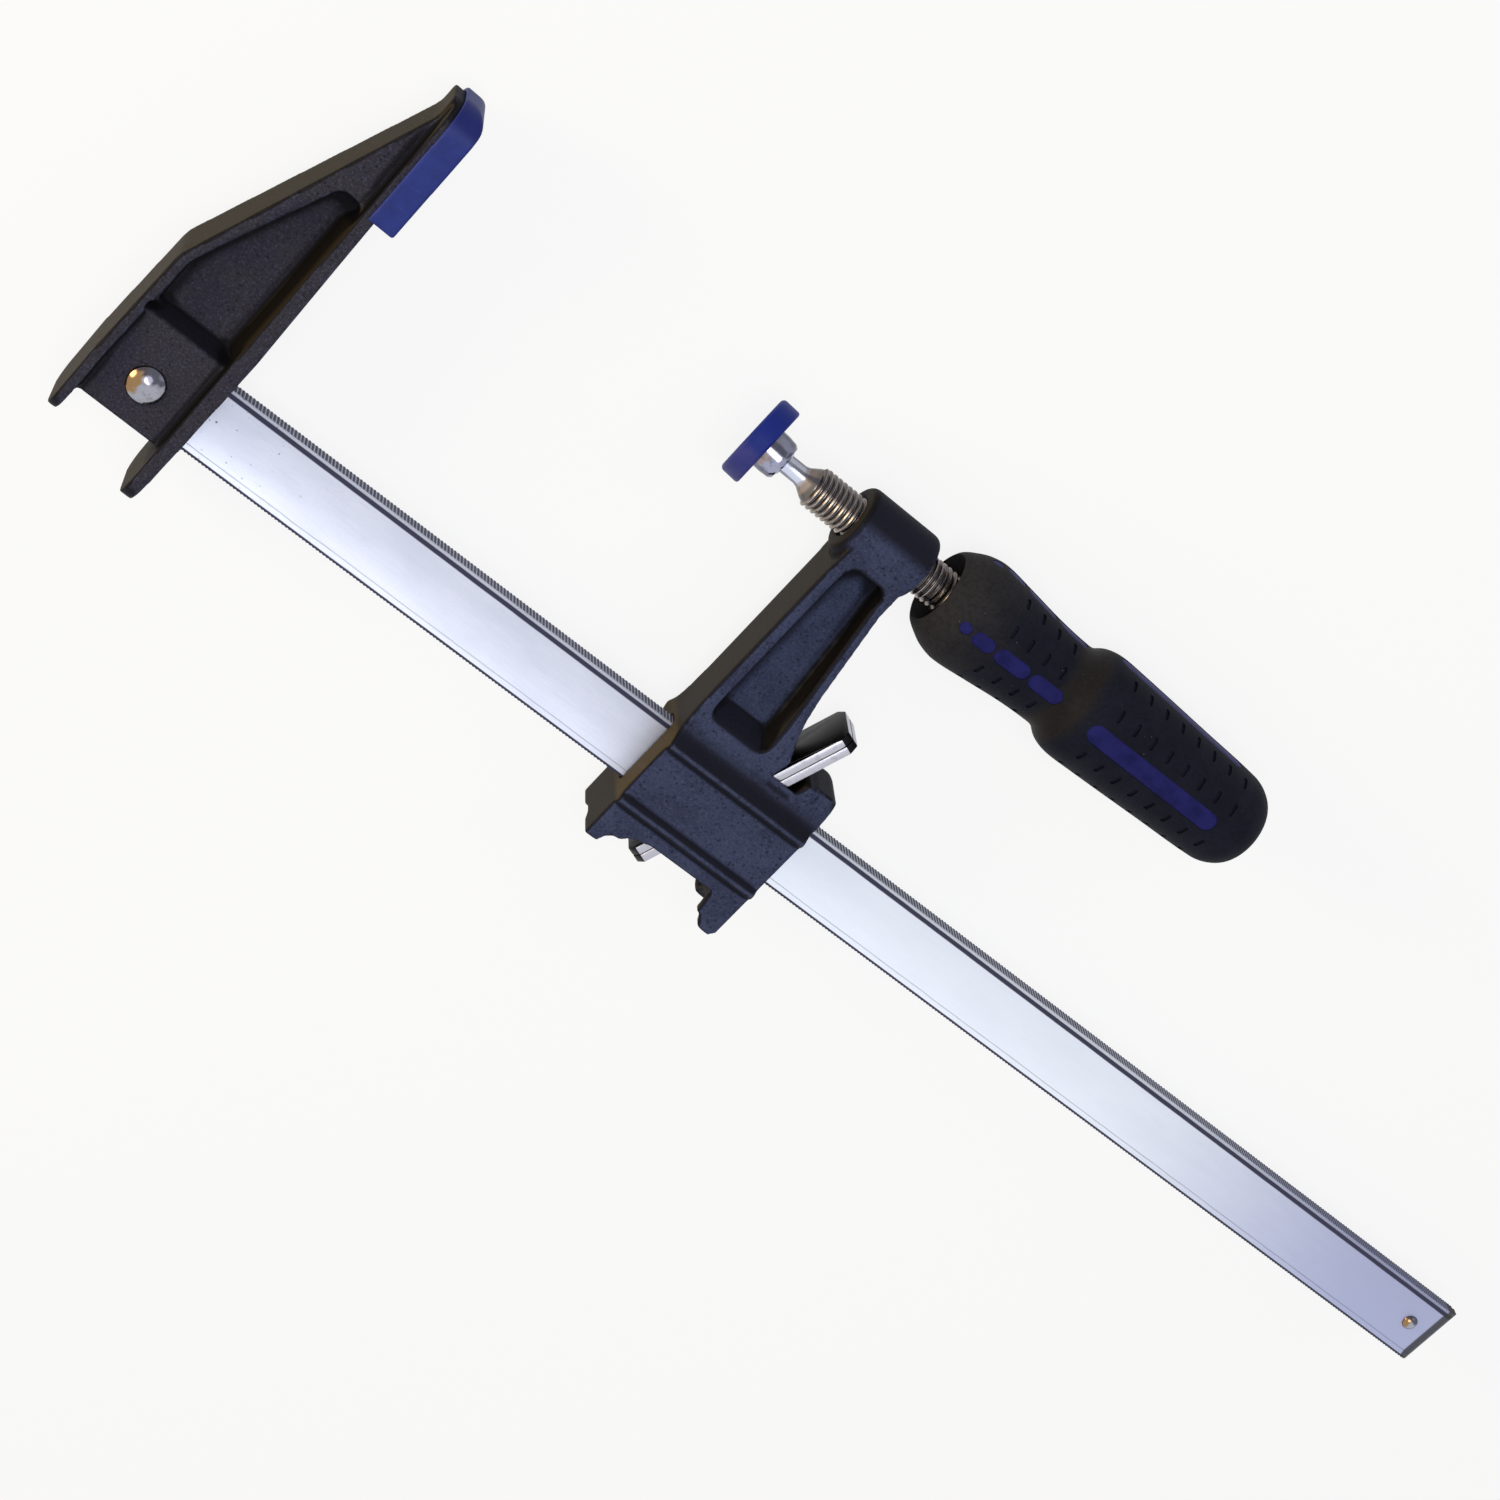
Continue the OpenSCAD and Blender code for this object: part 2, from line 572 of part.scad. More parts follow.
module sliding_jaw() {
    color("#26272d") translate([jaw_x, -throat, 0]) difference() {
        union() {
            intersection() {
                linear_extrude(height = body_w, center = true) polygon(jaw_outline());
                translate([-over, 0, 0]) rotate([90, 0, 90])
                    linear_extrude(height = body_len + 2 * over) polygon(jaw_front());
            }
            translate([-boss_front, throat, 0]) boss_solid();
            bead(front_rise - bead_w / 2);
            bead(-bar_w / 2 - bead_w / 4);
        }
        both_sides() translate([0, 0, arm_web_t / 2])
            linear_extrude(height = body_w) polygon(arm_pocket());
        linear_extrude(height = slot_w, center = true) polygon(clutch_space());
        translate([-over, -bar_w / 2 - slide_gap, -bar_t / 2 - slide_gap])
            cube([body_len + 2 * over, bar_w + 2 * slide_gap, bar_t + 2 * slide_gap]);
        translate([-boss_front - over, throat, 0]) rotate([0, 90, 0])
            cylinder(h = boss_len + body_len, d = thread_d + 2 * thread_gap);
        translate([-over, -rear_foot - slot_w / 4, 0]) rotate([0, 90, 0])
            cylinder(h = body_len + 2 * over, d = slot_w);
    }
    color("#26272d") translate([jaw_x + channel_back, -throat + spring_y, 0]) rotate([0, -90, 0])
        translate([0, 0, -over]) cylinder(h = peg_len + over, d = peg_d);
}

// A clutch plate from its heel, number 0 in front or 1 behind, with the bar's window
module clutch_plate(number) {
    near = number * (plate_t + plate_gap);
    top = (bar_w / 2 + grip_gap - heel_rise + stack_t * sin(grip_tilt)) / cos(grip_tilt);
    bottom = (-bar_w / 2 - grip_gap - heel_rise) / cos(grip_tilt);
    translate([jaw_x + heel_x, heel_rise - throat, 0]) rotate([0, 0, -grip_tilt])
        translate([near, 0, 0]) rotate([90, 0, 90]) linear_extrude(height = plate_t) difference() {
            polygon([for (s = [[-1, -1], [-1, 1], [1, 1], [1, -1]], flip = [0, 1])
                let (first = s[0] * s[1] < 0 ? 1 - flip : flip,
                     u = s[1] > 0 ? lever_up : -lever_down)
                [u - s[1] * plate_corner * first, s[0] * (plate_w / 2 - plate_corner * (1 - first))]]);
            translate([bottom, -bar_t / 2 - grip_gap]) square([top - bottom, bar_t + 2 * grip_gap]);
        }
}

module clutch_plate_front() {
    color("gainsboro") clutch_plate(0);
}

module clutch_plate_rear() {
    color("gainsboro") clutch_plate(1);
}

// The spring's centre line is a helix about X, swept with six-sided rings
spring_sides = 6;
spring_rings = 8;
spring_r = (spring_d - wire_d) / 2;
spring_from = spring_tip + wire_d / 2;
spring_to = channel_back - wire_d / 2 - slide_gap;
spring_steps = spring_turns * spring_rings;
function helix(i) =
    let (a = 360 * i / spring_rings)
    [spring_from + (spring_to - spring_from) * i / spring_steps, spring_r * cos(a), spring_r * sin(a)];
function ring_point(i, k) =
    let (a = 360 * i / spring_rings, b = 360 * k / spring_sides, out = wire_d / 2 * cos(b))
    helix(i) + [wire_d / 2 * sin(b), out * cos(a), out * sin(a)];
spring_points = [for (i = [0:spring_steps], k = [0:spring_sides - 1]) ring_point(i, k)];
spring_faces = concat(
    [for (i = [0:spring_steps - 1], k = [0:spring_sides - 1], half = [0, 1])
        let (a = i * spring_sides + k, b = i * spring_sides + (k + 1) % spring_sides)
        half == 0 ? [a, b, b + spring_sides] : [a, b + spring_sides, a + spring_sides]],
    [for (k = [1:spring_sides - 2]) [0, k + 1, k]],
    [for (k = [1:spring_sides - 2]) [for (n = [0, k, k + 1]) spring_steps * spring_sides + n]]
);
echo(least_gap_between_turns = (spring_to - spring_from) / spring_turns - wire_d);

module clutch_spring() {
    color("silver") translate([jaw_x, -throat + spring_y, 0])
        polyhedron(points = spring_points, faces = spring_faces);
}

// The thread is a row of rings with the thread's pitch, depth and crest
module spindle() {
    crest = pitch / 8;
    thread = [for (i = [0:ring_count - 1]) each [
        [minor_r, i * pitch], [thread_d / 2, i * pitch + pitch / 2 - crest],
        [thread_d / 2, i * pitch + pitch / 2 + crest]]];
    shaft_end = thread_start + ring_count * pitch;
    color("silver") {
        translate([ball_x, 0, 0]) sphere(d = ball_d);
        translate([ball_x, 0, 0]) rotate([0, 90, 0]) cylinder(h = neck_len + over, d = neck_d);
        translate([thread_start, 0, 0]) rotate([0, 90, 0]) rotate_extrude() polygon(concat(
            [[0, -taper_len], [neck_d / 2, -taper_len]], thread,
            [[minor_r, ring_count * pitch], [0, ring_count * pitch]]));
        translate([shaft_end, 0, 0]) rotate([0, 90, 0]) cylinder(h = tang_len, d = tang_d);
    }
}

// The outline of the grip, taken in by a margin
function grip_points(margin) =
    [for (p = grip_outline) [max(p[1] - margin, 0), p[0] * handle_len]];

module grip_body(margin) {
    translate([handle_x, 0, 0]) rotate([0, 90, 0]) rotate_extrude()
        polygon(concat([[0, 0]], grip_points(margin)));
}

// The inlays reach from the core to the grip's surface, grown by a margin
module inlays(margin) {
    for (side = [0:inlay_sides - 1], s = inlay_shares) {
        half = inlay_w / 2 * s[2];
        w = half + margin;
        from = handle_x + s[0] * handle_len + half;
        to = handle_x + s[1] * handle_len - half;
        rotate([side * 360 / inlay_sides, 0, 0]) {
            if (to > from) translate([from, -w, 0]) cube([to - from, 2 * w, rear_d]);
            translate([from, 0, 0]) cylinder(h = rear_d, r = w);
            if (to > from) translate([to, 0, 0]) cylinder(h = rear_d, r = w);
        }
    }
}

// The hard core's round body, inside the soft grip
module core_body(margin) {
    front = handle_x + mouth_depth;
    back = handle_x + handle_len - 2 * grip_t;
    step_share = 0.44;
    step = handle_x + handle_len * step_share;
    translate([front, 0, 0]) rotate([0, 90, 0])
        cylinder(h = step - front, d = waist_d - 2 * grip_t + 2 * margin);
    translate([step, 0, 0]) rotate([0, 90, 0])
        cylinder(h = back - step + margin, d1 = rear_d - 2 * grip_t + 2 * margin,
                 d2 = rear_end_d - 4 * grip_t + 2 * margin);
}

module mouth() {
    translate([handle_x, 0, 0]) rotate([0, 90, 0])
        cylinder(h = mouth_depth + seat_gap, d1 = mouth_rim_d, d2 = mouth_d);
}

module tang_bore() {
    mouth();
    translate([handle_x, 0, 0]) rotate([0, 90, 0])
        cylinder(h = mouth_depth + tang_len + seat_gap, d = tang_d + 2 * seat_gap);
}

module handle_core() {
    color("#22276b") difference() {
        union() {
            core_body(0);
            intersection() {
                grip_body(inlay_sink);
                inlays(0);
            }
        }
        tang_bore();
    }
}

module handle_grip() {
    color("#1d1e22") difference() {
        grip_body(0);
        core_body(seat_gap);
        inlays(seat_gap);
        mouth();
    }
}

// Hangs its children from the ball, drooped under their own weight
module drooping() {
    translate([ball_x, 0, 0]) rotate([0, -pad_droop, 0]) children();
}

module ball_liner() {
    color("ivory") translate([ball_x, 0, 0]) difference() {
        sphere(r = liner_out);
        sphere(r = liner_in);
        translate([ball_r * liner_back_share, -liner_out, -liner_out]) cube(2 * liner_out);
    }
}

module swivel_cup() {
    steel_d = pad_d - 2 * pad_wall - 2 * seat_gap;
    color("gainsboro") drooping() difference() {
        union() {
            rotate([0, 90, 0]) rotate_extrude() polygon([
                [0, -pad_rear - swivel_plate_t], [cup_d / 2, -pad_rear - swivel_plate_t],
                [cup_d / 2, -pad_rear * 0.2], [cup_d / 2 * 0.97, cup_rear * 0.45],
                [cup_rear_d / 2 + liner_t / 2, cup_rear * 0.9], [cup_rear_d / 2, cup_rear], [0, cup_rear]]);
            translate([-pad_front + pad_wall + seat_gap, 0, 0]) rotate([0, 90, 0])
                cylinder(h = swivel_plate_t, d = steel_d);
            translate([-pad_front + pad_wall + seat_gap, 0, 0]) rotate([0, 90, 0])
                cylinder(h = pad_front - pad_wall, d = cup_d * 0.9);
        }
        sphere(r = cup_in);
        rotate([0, 90, 0]) cylinder(h = cup_rear + over, r = cup_mouth_r);
    }
}

module pad_cap() {
    color("#2b3a9c") drooping() difference() {
        translate([-pad_front, 0, 0]) rotate([0, 90, 0]) cylinder(h = pad_t, d = pad_d);
        translate([-pad_front + pad_wall, 0, 0]) rotate([0, 90, 0])
            cylinder(h = swivel_plate_t + 2 * seat_gap, d = pad_d - 2 * pad_wall);
        translate([-pad_front + pad_wall, 0, 0]) rotate([0, 90, 0])
            cylinder(h = pad_t, d = cup_d + 2 * seat_gap);
    }
}

bar();
fixed_jaw();
head_rivet();
fixed_jaw_cap();
bar_stop_pin();
sliding_jaw();
clutch_plate_front();
clutch_plate_rear();
clutch_spring();
ball_liner();
spindle();
handle_core();
handle_grip();
swivel_cup();
pad_cap();
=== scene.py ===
"""Looks of a bar clamp: its pieces, finishes, lights and camera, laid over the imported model."""
import logging
import math
from dataclasses import dataclass
from enum import Enum
from functools import cache
from itertools import product
from typing import Any, Iterable, Sequence

import bmesh
import bpy
from mathutils import Matrix, Vector
from mathutils.bvhtree import BVHTree
from mathutils.geometry import interpolate_bezier


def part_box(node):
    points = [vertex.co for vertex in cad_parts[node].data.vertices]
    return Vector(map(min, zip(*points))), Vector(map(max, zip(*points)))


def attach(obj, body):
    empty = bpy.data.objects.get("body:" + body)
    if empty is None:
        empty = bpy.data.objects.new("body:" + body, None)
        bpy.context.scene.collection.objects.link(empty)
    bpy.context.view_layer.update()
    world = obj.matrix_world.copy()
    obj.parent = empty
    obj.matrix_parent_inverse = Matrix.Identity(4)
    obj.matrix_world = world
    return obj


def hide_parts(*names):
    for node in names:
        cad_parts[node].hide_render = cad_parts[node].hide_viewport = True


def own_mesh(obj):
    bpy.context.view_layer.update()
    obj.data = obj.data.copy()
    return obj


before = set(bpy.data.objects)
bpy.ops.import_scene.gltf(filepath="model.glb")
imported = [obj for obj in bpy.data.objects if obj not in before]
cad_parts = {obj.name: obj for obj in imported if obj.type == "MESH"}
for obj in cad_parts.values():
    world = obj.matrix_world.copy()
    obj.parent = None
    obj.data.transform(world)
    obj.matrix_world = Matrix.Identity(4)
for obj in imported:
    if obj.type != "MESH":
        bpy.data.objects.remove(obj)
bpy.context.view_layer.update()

logging.basicConfig(level=logging.INFO, format="%(name)s: %(message)s")
LOG = logging.getLogger("bar_clamp")

MM = 0.001
BAR_Y = -100.5
BALL_X = 132.1
Point = tuple[float, float]
Triple = tuple[float, float, float]
Ink = tuple[int, int, int]
Inputs = dict[int | str, Any]
BMesh = bmesh.types.BMesh
Object = bpy.types.Object


class Cut(Enum):
    """How one solid acts on another."""

    JOIN = "UNION"
    TAKE = "DIFFERENCE"
    SHARE = "INTERSECT"


# Shader arithmetic


def operator(operation: str, swapped: bool = False) -> Any:
    """A method that adds a Math node, with its signal as the second input where swapped."""
    def method(signal: "Signal", *other: Any) -> "Signal":
        """Adds the node."""
        values = (*other, signal) if swapped else (signal, *other)
        return signal.tree.math(operation, *values)

    return method


class Signal:
    """A shader socket that takes part in arithmetic."""

    __add__ = __radd__ = operator("ADD")
    __sub__ = operator("SUBTRACT")
    __rsub__ = operator("SUBTRACT", swapped=True)
    __mul__ = __rmul__ = operator("MULTIPLY")
    __abs__ = operator("ABSOLUTE")

    def __init__(self, tree: "Tree", socket: bpy.types.NodeSocket) -> None:
        """Keeps the socket and the tree that it belongs to."""
        self.tree = tree
        self.socket = socket

    def rise(self, low: float, high: float) -> "Signal":
        """A smooth step from 0 at the low value to 1 at the high one, which may be less."""
        return self.tree.out("MapRange", "Result", {
            "Value": self, "From Min": low, "From Max": high}, interpolation_type="SMOOTHSTEP")

    def band(self, middle: float, half: float, soft: float) -> "Signal":
        """A band that is 1 within half its width of the middle value, and 0 past a soft edge."""
        return abs(self - middle).rise(half + soft, half)


class Tree:
    """A tree of shader nodes."""

    def __init__(self, tree: bpy.types.NodeTree) -> None:
        """Takes over a tree, and empties it."""
        self.tree = tree
        tree.nodes.clear()

    def put(self, socket: bpy.types.NodeSocket, value: Any) -> None:
        """Links a signal to a socket, or sets the socket's value."""
        if isinstance(value, Signal):
            self.tree.links.new(value.socket, socket)
        else:
            socket.default_value = value

    def add(self, kind: str, inputs: Inputs | None = None, **settings: Any) -> bpy.types.Node:
        """A new node.

        Args:
            kind: The node's type, without ShaderNode before it.
            inputs: Values or signals of its sockets, by name or number.
            settings: Values of its own properties, set first.
        """
        made = self.tree.nodes.new("ShaderNode" + kind)
        for key, value in settings.items():
            setattr(made, key, value)
        for key, value in (inputs or {}).items():
            self.put(made.inputs[key], value)
        return made

    def out(self, kind: str, output: int | str, inputs: Inputs | None = None,
            **settings: Any) -> Signal:
        """Adds a node for the sake of one output, which is given by name or number."""
        return Signal(self, self.add(kind, inputs, **settings).outputs[output])

    def math(self, operation: str, *values: Any) -> Signal:
        """Adds a Math node with numbers or signals as its inputs."""
        return self.out("Math", 0, dict(enumerate(values)), operation=operation)

    def most(self, highest: Signal, *others: Signal) -> Signal:
        """The highest of several values."""
        for value in others:
            highest = self.math("MAXIMUM", highest, value)
        return highest


class Graph(Tree):
    """A material's nodes, with the Principled shader at their end."""

    def __init__(self, name: str) -> None:
        """Makes a material of this name."""
        self.material = bpy.data.materials.new(name)
        self.material.use_nodes = True
        super().__init__(self.material.node_tree)
        self.shader = self.add("BsdfPrincipled")
        self.add("OutputMaterial", {"Surface": Signal(self, self.shader.outputs["BSDF"])})
        self.place = self.out("TexCoord", "Object")

    def split(self, vector: Signal) -> tuple[Signal, ...]:
        """The x, y and z of a vector."""
        made = self.add("SeparateXYZ", {0: vector})
        return tuple(Signal(self, socket) for socket in made.outputs)

    def stretched(self, scale: Triple) -> Signal:
        """The object's coordinates, scaled by axis."""
        return self.out("Mapping", 0, {"Vector": self.place, "Scale": scale})

    def axes(self) -> tuple[Signal, ...]:
        """The x, y and z of the object's coordinates in mm."""
        return self.split(self.stretched((1 / MM, 1 / MM, 1 / MM)))

    def facing(self) -> tuple[Signal, ...]:
        """The x, y and z of the direction that the mesh faces, kept in an attribute."""
        return self.split(self.out("Attribute", "Vector", attribute_name="facing"))

    def attribute(self, name: str) -> Signal:
        """The mesh's own attribute of this name."""
        return self.out("Attribute", "Fac", attribute_name=name)

    def noise(self, grain_mm: float, detail: float = 3.0, rough: float = 0.55,
              stretch: Triple | None = None) -> Signal:
        """Noise from 0 to 1 with grains of a size.

        Args:
            grain_mm: Size of a grain in mm.
            detail: Octaves of detail.
            rough: Strength of the finer octaves.
            stretch: Scale by axis, below 1 where the pattern is drawn out, or None.
        """
        return self.out("TexNoise", 0, {
            "Vector": self.stretched(stretch) if stretch else self.place,
            "Scale": 1 / (grain_mm * MM), "Detail": detail, "Roughness": rough})

    def cells(self, size_mm: float) -> Signal:
        """Distance from the middle of cells of a size, in cell widths."""
        return self.out("TexVoronoi", "Distance", {
            "Vector": self.place, "Scale": 1 / (size_mm * MM)})

    def blend(self, base: Any, *layers: tuple[Any, Any]) -> Any:
        """A base colour under layers, each a share, from 0 to 1, and a colour."""
        for share, colour in layers:
            base = self.out("Mix", 2, {0: share, 6: linear(base), 7: linear(colour)},
                            data_type="RGBA")
        return base

    def relief(self, height: Signal, depth_mm: float, strength: float = 1.0) -> None:
        """Feeds a height pattern, from 0 to 1 over its depth, into the shader's normal."""
        self.feed(Normal=self.out("Bump", "Normal", {
            "Height": height, "Distance": depth_mm * MM, "Strength": strength}))

    def feed(self, **values: Any) -> None:
        """Sets or links the shader's sockets, with underscores for the spaces in their names."""
        for key, value in values.items():
            self.put(self.shader.inputs[key.replace("_", " ")], value)


def linear(colour: Any) -> Any:
    """A screen colour, from 0 to 255, as linear light with full alpha; a signal as it is."""
    if isinstance(colour, Signal):
        return colour
    shares = [value / 255 for value in colour]
    return (*(s / 12.92 if s <= 0.04045 else ((s + 0.055) / 1.055) ** 2.4 for s in shares), 1)


# Finishes


@dataclass(frozen=True)
class Finish:
    """A finish for pieces in one of the record's material slots."""

    name: str
    slot: str

    @cache
    def make(self) -> bpy.types.Material:
        """Builds the material, once."""
        g = Graph(self.name)
        self.dress(g)
        return g.material

    def dress(self, g: Graph) -> None:
        """Feeds the shader."""
        raise NotImplementedError


@dataclass(frozen=True)
class Casting(Finish):
    """Painted cast iron: a fine pitted skin with pale specks, painted warm light on faces turned
    towards -X, painted highlight along convex edges, painted shade on faces turned towards +Y or
    -Y, in creases, hollows and pocket walls, and dark lines round the -X flanks.
    """

    paint: Ink
    cloud: Ink
    # Painted warm light on faces turned towards -X.
    flank_light: Ink = (51, 43, 23)
    # Painted shade on walls turned towards -X inside pockets.
    wall: Ink = (9, 6, 4)
    # Dark specks and pits, and painted shade on faces turned towards +Y or -Y.
    pits_and_slope_shade: Ink = (19, 19, 28)
    # Pale specks, and painted highlight along convex edges.
    speck_and_edge_highlight: Ink = (84, 88, 112)
    # Painted shade in concave creases and hollows.
    corner: Ink = (6, 6, 9)
    # A golder tone of that painted warm light, in a band at the bar's height.
    gold: Ink = (74, 60, 26)
    gold_half_mm: float = 13.5
    gold_share: float = 0.0
    grain_mm: float = 0.9
    pit_mm: float = 2.2
    depth_mm: float = 0.10
    shine: float = 0.07

    def dress(self, g: Graph) -> None:
        """Feeds the shader."""
        cloudy = g.noise(14, 4, 0.6).rise(0.38, 0.66)
        speck = g.noise(self.grain_mm * 0.8, 3, 0.7)
        pits = g.cells(self.pit_mm).rise(0.30, 0.12) * g.noise(4, 2).rise(0.42, 0.56)
        crease, hollow = g.attribute("crease"), g.attribute("hollow")
        east, north, _ = g.facing()
        west = 0 - east
        # Painted warm light: how far each face turns towards -X.
        side = west.rise(0.35, 0.85)
        # Painted highlight in patches along convex edges.
        edge_highlight = crease.rise(0.08, 0.26) * g.noise(2.4, 3).rise(0.40, 0.62)
        # A dark line along convex edges round the faces turned towards -X.
        flank_edge_line = crease.rise(0.04, 0.14) * west.band(0.5, 0.26, 0.14)
        # Painted shade in concave creases and in hollows that the rays find closed in.
        shade = g.most((0 - crease).rise(0.03, 0.15), hollow.rise(0.07, 0.24))
        # Painted shade on faces turned towards +Y or -Y.
        slope_shade = abs(north).rise(0.12, 0.52)
        _, y, _ = g.axes()
        # A golder band of the painted warm light at the bar's height.
        warm = y.band(BAR_Y, self.gold_half_mm, 3) * self.gold_share
        base = g.blend(
            self.paint, (cloudy, self.cloud),
            (speck.rise(0.52, 0.68) * 0.5, self.speck_and_edge_highlight),
            (speck.rise(0.46, 0.32) * 0.6, self.pits_and_slope_shade), (pits * 0.6, self.pits_and_slope_shade),
            (slope_shade * 0.93, self.pits_and_slope_shade), (side * 0.9, g.blend(self.flank_light, (warm, self.gold))),
            (edge_highlight * (1 - side) * 0.4, self.speck_and_edge_highlight),
            # Painted shade on pocket walls turned towards -X.
            (side * hollow.rise(0.015, 0.05) * 0.95, self.wall),
            (g.most(shade * 0.88, flank_edge_line * 0.8), self.corner))
        g.feed(Base_Color=base, Roughness=0.50 + 0.22 * speck - 0.08 * edge_highlight + 0.1 * shade,
               Specular_IOR_Level=self.shine)
        g.relief(g.noise(self.grain_mm, 4, 0.62) * 0.8 - pits * 0.5, self.depth_mm)


@dataclass(frozen=True)
class RolledSteel(Finish):
    """Bright rolled bar: drawing lines, pits and darker teeth, with painted shade along its slopes
    and rims, a painted highlight along its middle, its far end painted dimmer and its end bevel
    painted dark.
    """

    bright: Ink = (212, 217, 235)
    dull: Ink = (195, 201, 221)
    # Dark tone of pits and teeth, and of the painted shade along slopes and rims.
    scale: Ink = (44, 45, 72)
    # Painted highlight along the middle of the bar.
    painted_sheen: Ink = (240, 247, 255)
    # The far end painted dimmer and bluer, as painted shade.
    tail_shade: Ink = (171, 177, 209)
    # Painted shade on the bevel at the free end.
    bevel: Ink = (44, 44, 44)
    sheen_x_mm: Point = (150, 240)
    tail_x_mm: Point = (365, 508)
    bevel_x_mm: float = 531.0
    pitted_to_mm: float = 46.0
    depth_mm: float = 0.035

    def dress(self, g: Graph) -> None:
        """Feeds the shader."""
        x, y, _ = g.axes()
        side = y - BAR_Y
        lines = g.noise(0.5, 3, 0.6, (0.02, 1, 1))
        cloudy = g.noise(9, 4, 0.6, (0.35, 1, 1))
        waver = (g.noise(3, 2, 0.5, (0.25, 1, 1)) - 0.5) * 0.5
        grain = g.noise(0.8, 3, 0.65)
        # Painted shade: a band on the slope towards +Y, a thin line at the foot of the slope
        # towards -Y, a band on the rounded rim towards -Y, and the rim towards +Y a little darker.
        upper = (side + waver * 0.4).band(10.6, 0.7, 0.45)
        rim_shade_strip = side.rise(11, 11.6) * 0.3
        thin_shade_line = (side + waver).band(-9.9, 0.05, 0.16) * 0.45
        rim = (side + waver * 0.3).band(-12.1, 0.4, 0.3)
        tooth = abs(side).rise(12.3, 12.6) * (0.82 + 0.3 * lines)
        near_head = x.rise(self.pitted_to_mm, 0)
        dots = g.cells(2.3).rise(0.20, 0.10) * g.noise(4.2, 2).rise(0.52, 0.60) * near_head
        dark = g.most(upper, thin_shade_line, rim, tooth, rim_shade_strip, dots * 0.85)
        # Painted shade on the bevelled free end.
        end = x.rise(self.bevel_x_mm - 0.4, self.bevel_x_mm + 0.4)
        base = g.blend(
            self.bright, (cloudy.rise(0.35, 0.7) * 0.5, self.dull),
            (g.most(lines, grain).rise(0.5, 0.75) * 0.5, self.dull),
            # Painted highlight from 150 mm along the bar.
            (x.rise(*self.sheen_x_mm) * 0.5, self.painted_sheen),
            # The far end painted dimmer, as painted shade.
            ((x + waver * 30).rise(*self.tail_x_mm), self.tail_shade),
            (dark, self.scale), (end * 0.9, self.bevel))
        g.feed(Base_Color=base, Metallic=0.75 - 0.5 * g.most(dark, end),
               Roughness=0.46 + 0.04 * cloudy + 0.15 * dark)
        g.relief(lines * 0.7 - dots, self.depth_mm, 0.8)


@dataclass(frozen=True)
class PlatedSteel(Finish):
    """Chrome or zinc plate over turned steel: turning lines, haze and dull spots, with painted
    reflections, amber on faces turned towards -X and smoky on faces turned towards +Y and in dark
    bands; on a thread, its roots painted darker as shade and its neck painted brighter as a
    highlight.
    """

    bright: Ink = (156, 156, 164)
    haze: Ink = (120, 112, 106)
    rough: float = 0.10
    # Share of the painted reflections, amber towards -X and smoky towards +Y.
    painted_reflection: float = 0.0
    # Painted shade in the thread's roots.
    root: Ink = (100, 95, 90)
    # Painted highlight on the neck.
    neck: Ink = (206, 211, 230)
    crest_mm: float = 0.0
    root_mm: float = 0.0
    thread_x_mm: float = 145.6
    # Painted warm reflection.
    amber: Ink = (150, 112, 52)
    # Painted dark reflection, also in the bands across turned faces.
    smoke: Ink = (60, 60, 72)
    spot: Ink = (70, 62, 54)
    # Share of painted dark reflection bands across turned faces.
    dark_reflection_bands: float = 0.0
    lines_mm: float = 0.25
    line_depth_mm: float = 0.012

    def dress(self, g: Graph) -> None:
        """Feeds the shader."""
        turning = g.noise(self.lines_mm, 2, 0.5, (1, 0.06, 0.06))
        hazy = g.noise(2.6, 4, 0.65)
        spots = g.cells(1.9).rise(0.16, 0.06) * g.noise(5, 2).rise(0.50, 0.62)
        east, north, up = g.facing()
        drift = (g.noise(3, 2, 0.5) - 0.5) * 0.7
        # Painted reflections: amber where the face turns towards -X, smoky where it turns towards
        # +Y.
        warm = (drift - east).rise(0.16, 0.34) * self.painted_reflection
        cool = (north + drift).rise(0.20, 0.42) * self.painted_reflection
        base = g.blend(self.bright, (hazy.rise(0.46, 0.74) * 0.6, self.haze),
                       (warm * 0.85, self.amber), (cool * 0.85, self.smoke))
        if self.crest_mm:
            x, y, z = g.axes()
            start = self.thread_x_mm
            radius = g.math("SQRT", y * y + z * z)
            # Painted shade in the roots of the thread.
            deep_shade = radius.rise(self.crest_mm, self.root_mm) * x.rise(start - 1, start)
            # Painted highlight on the neck, outside the painted reflections.
            neck = x.rise(start - 2, start - 3) * (1 - warm) * (1 - cool)
            base = g.blend(base, (deep_shade * 0.85, self.root), (neck, self.neck))
        # Painted dark reflection in bands, set by how far the face turns towards +Y or -Y.
        turn = north * 0.97 - up * 0.25
        rim = g.most(abs(turn).rise(0.74, 0.93), turn.band(0.3, 0.08, 0.14))
        base = g.blend(base, (rim * self.dark_reflection_bands, self.smoke), (spots * 0.6, self.spot))
        g.feed(Base_Color=base, Metallic=1 - 0.5 * spots,
               Roughness=self.rough + 0.08 * hazy + 0.3 * spots)
        g.relief(turning, self.line_depth_mm, 0.7)


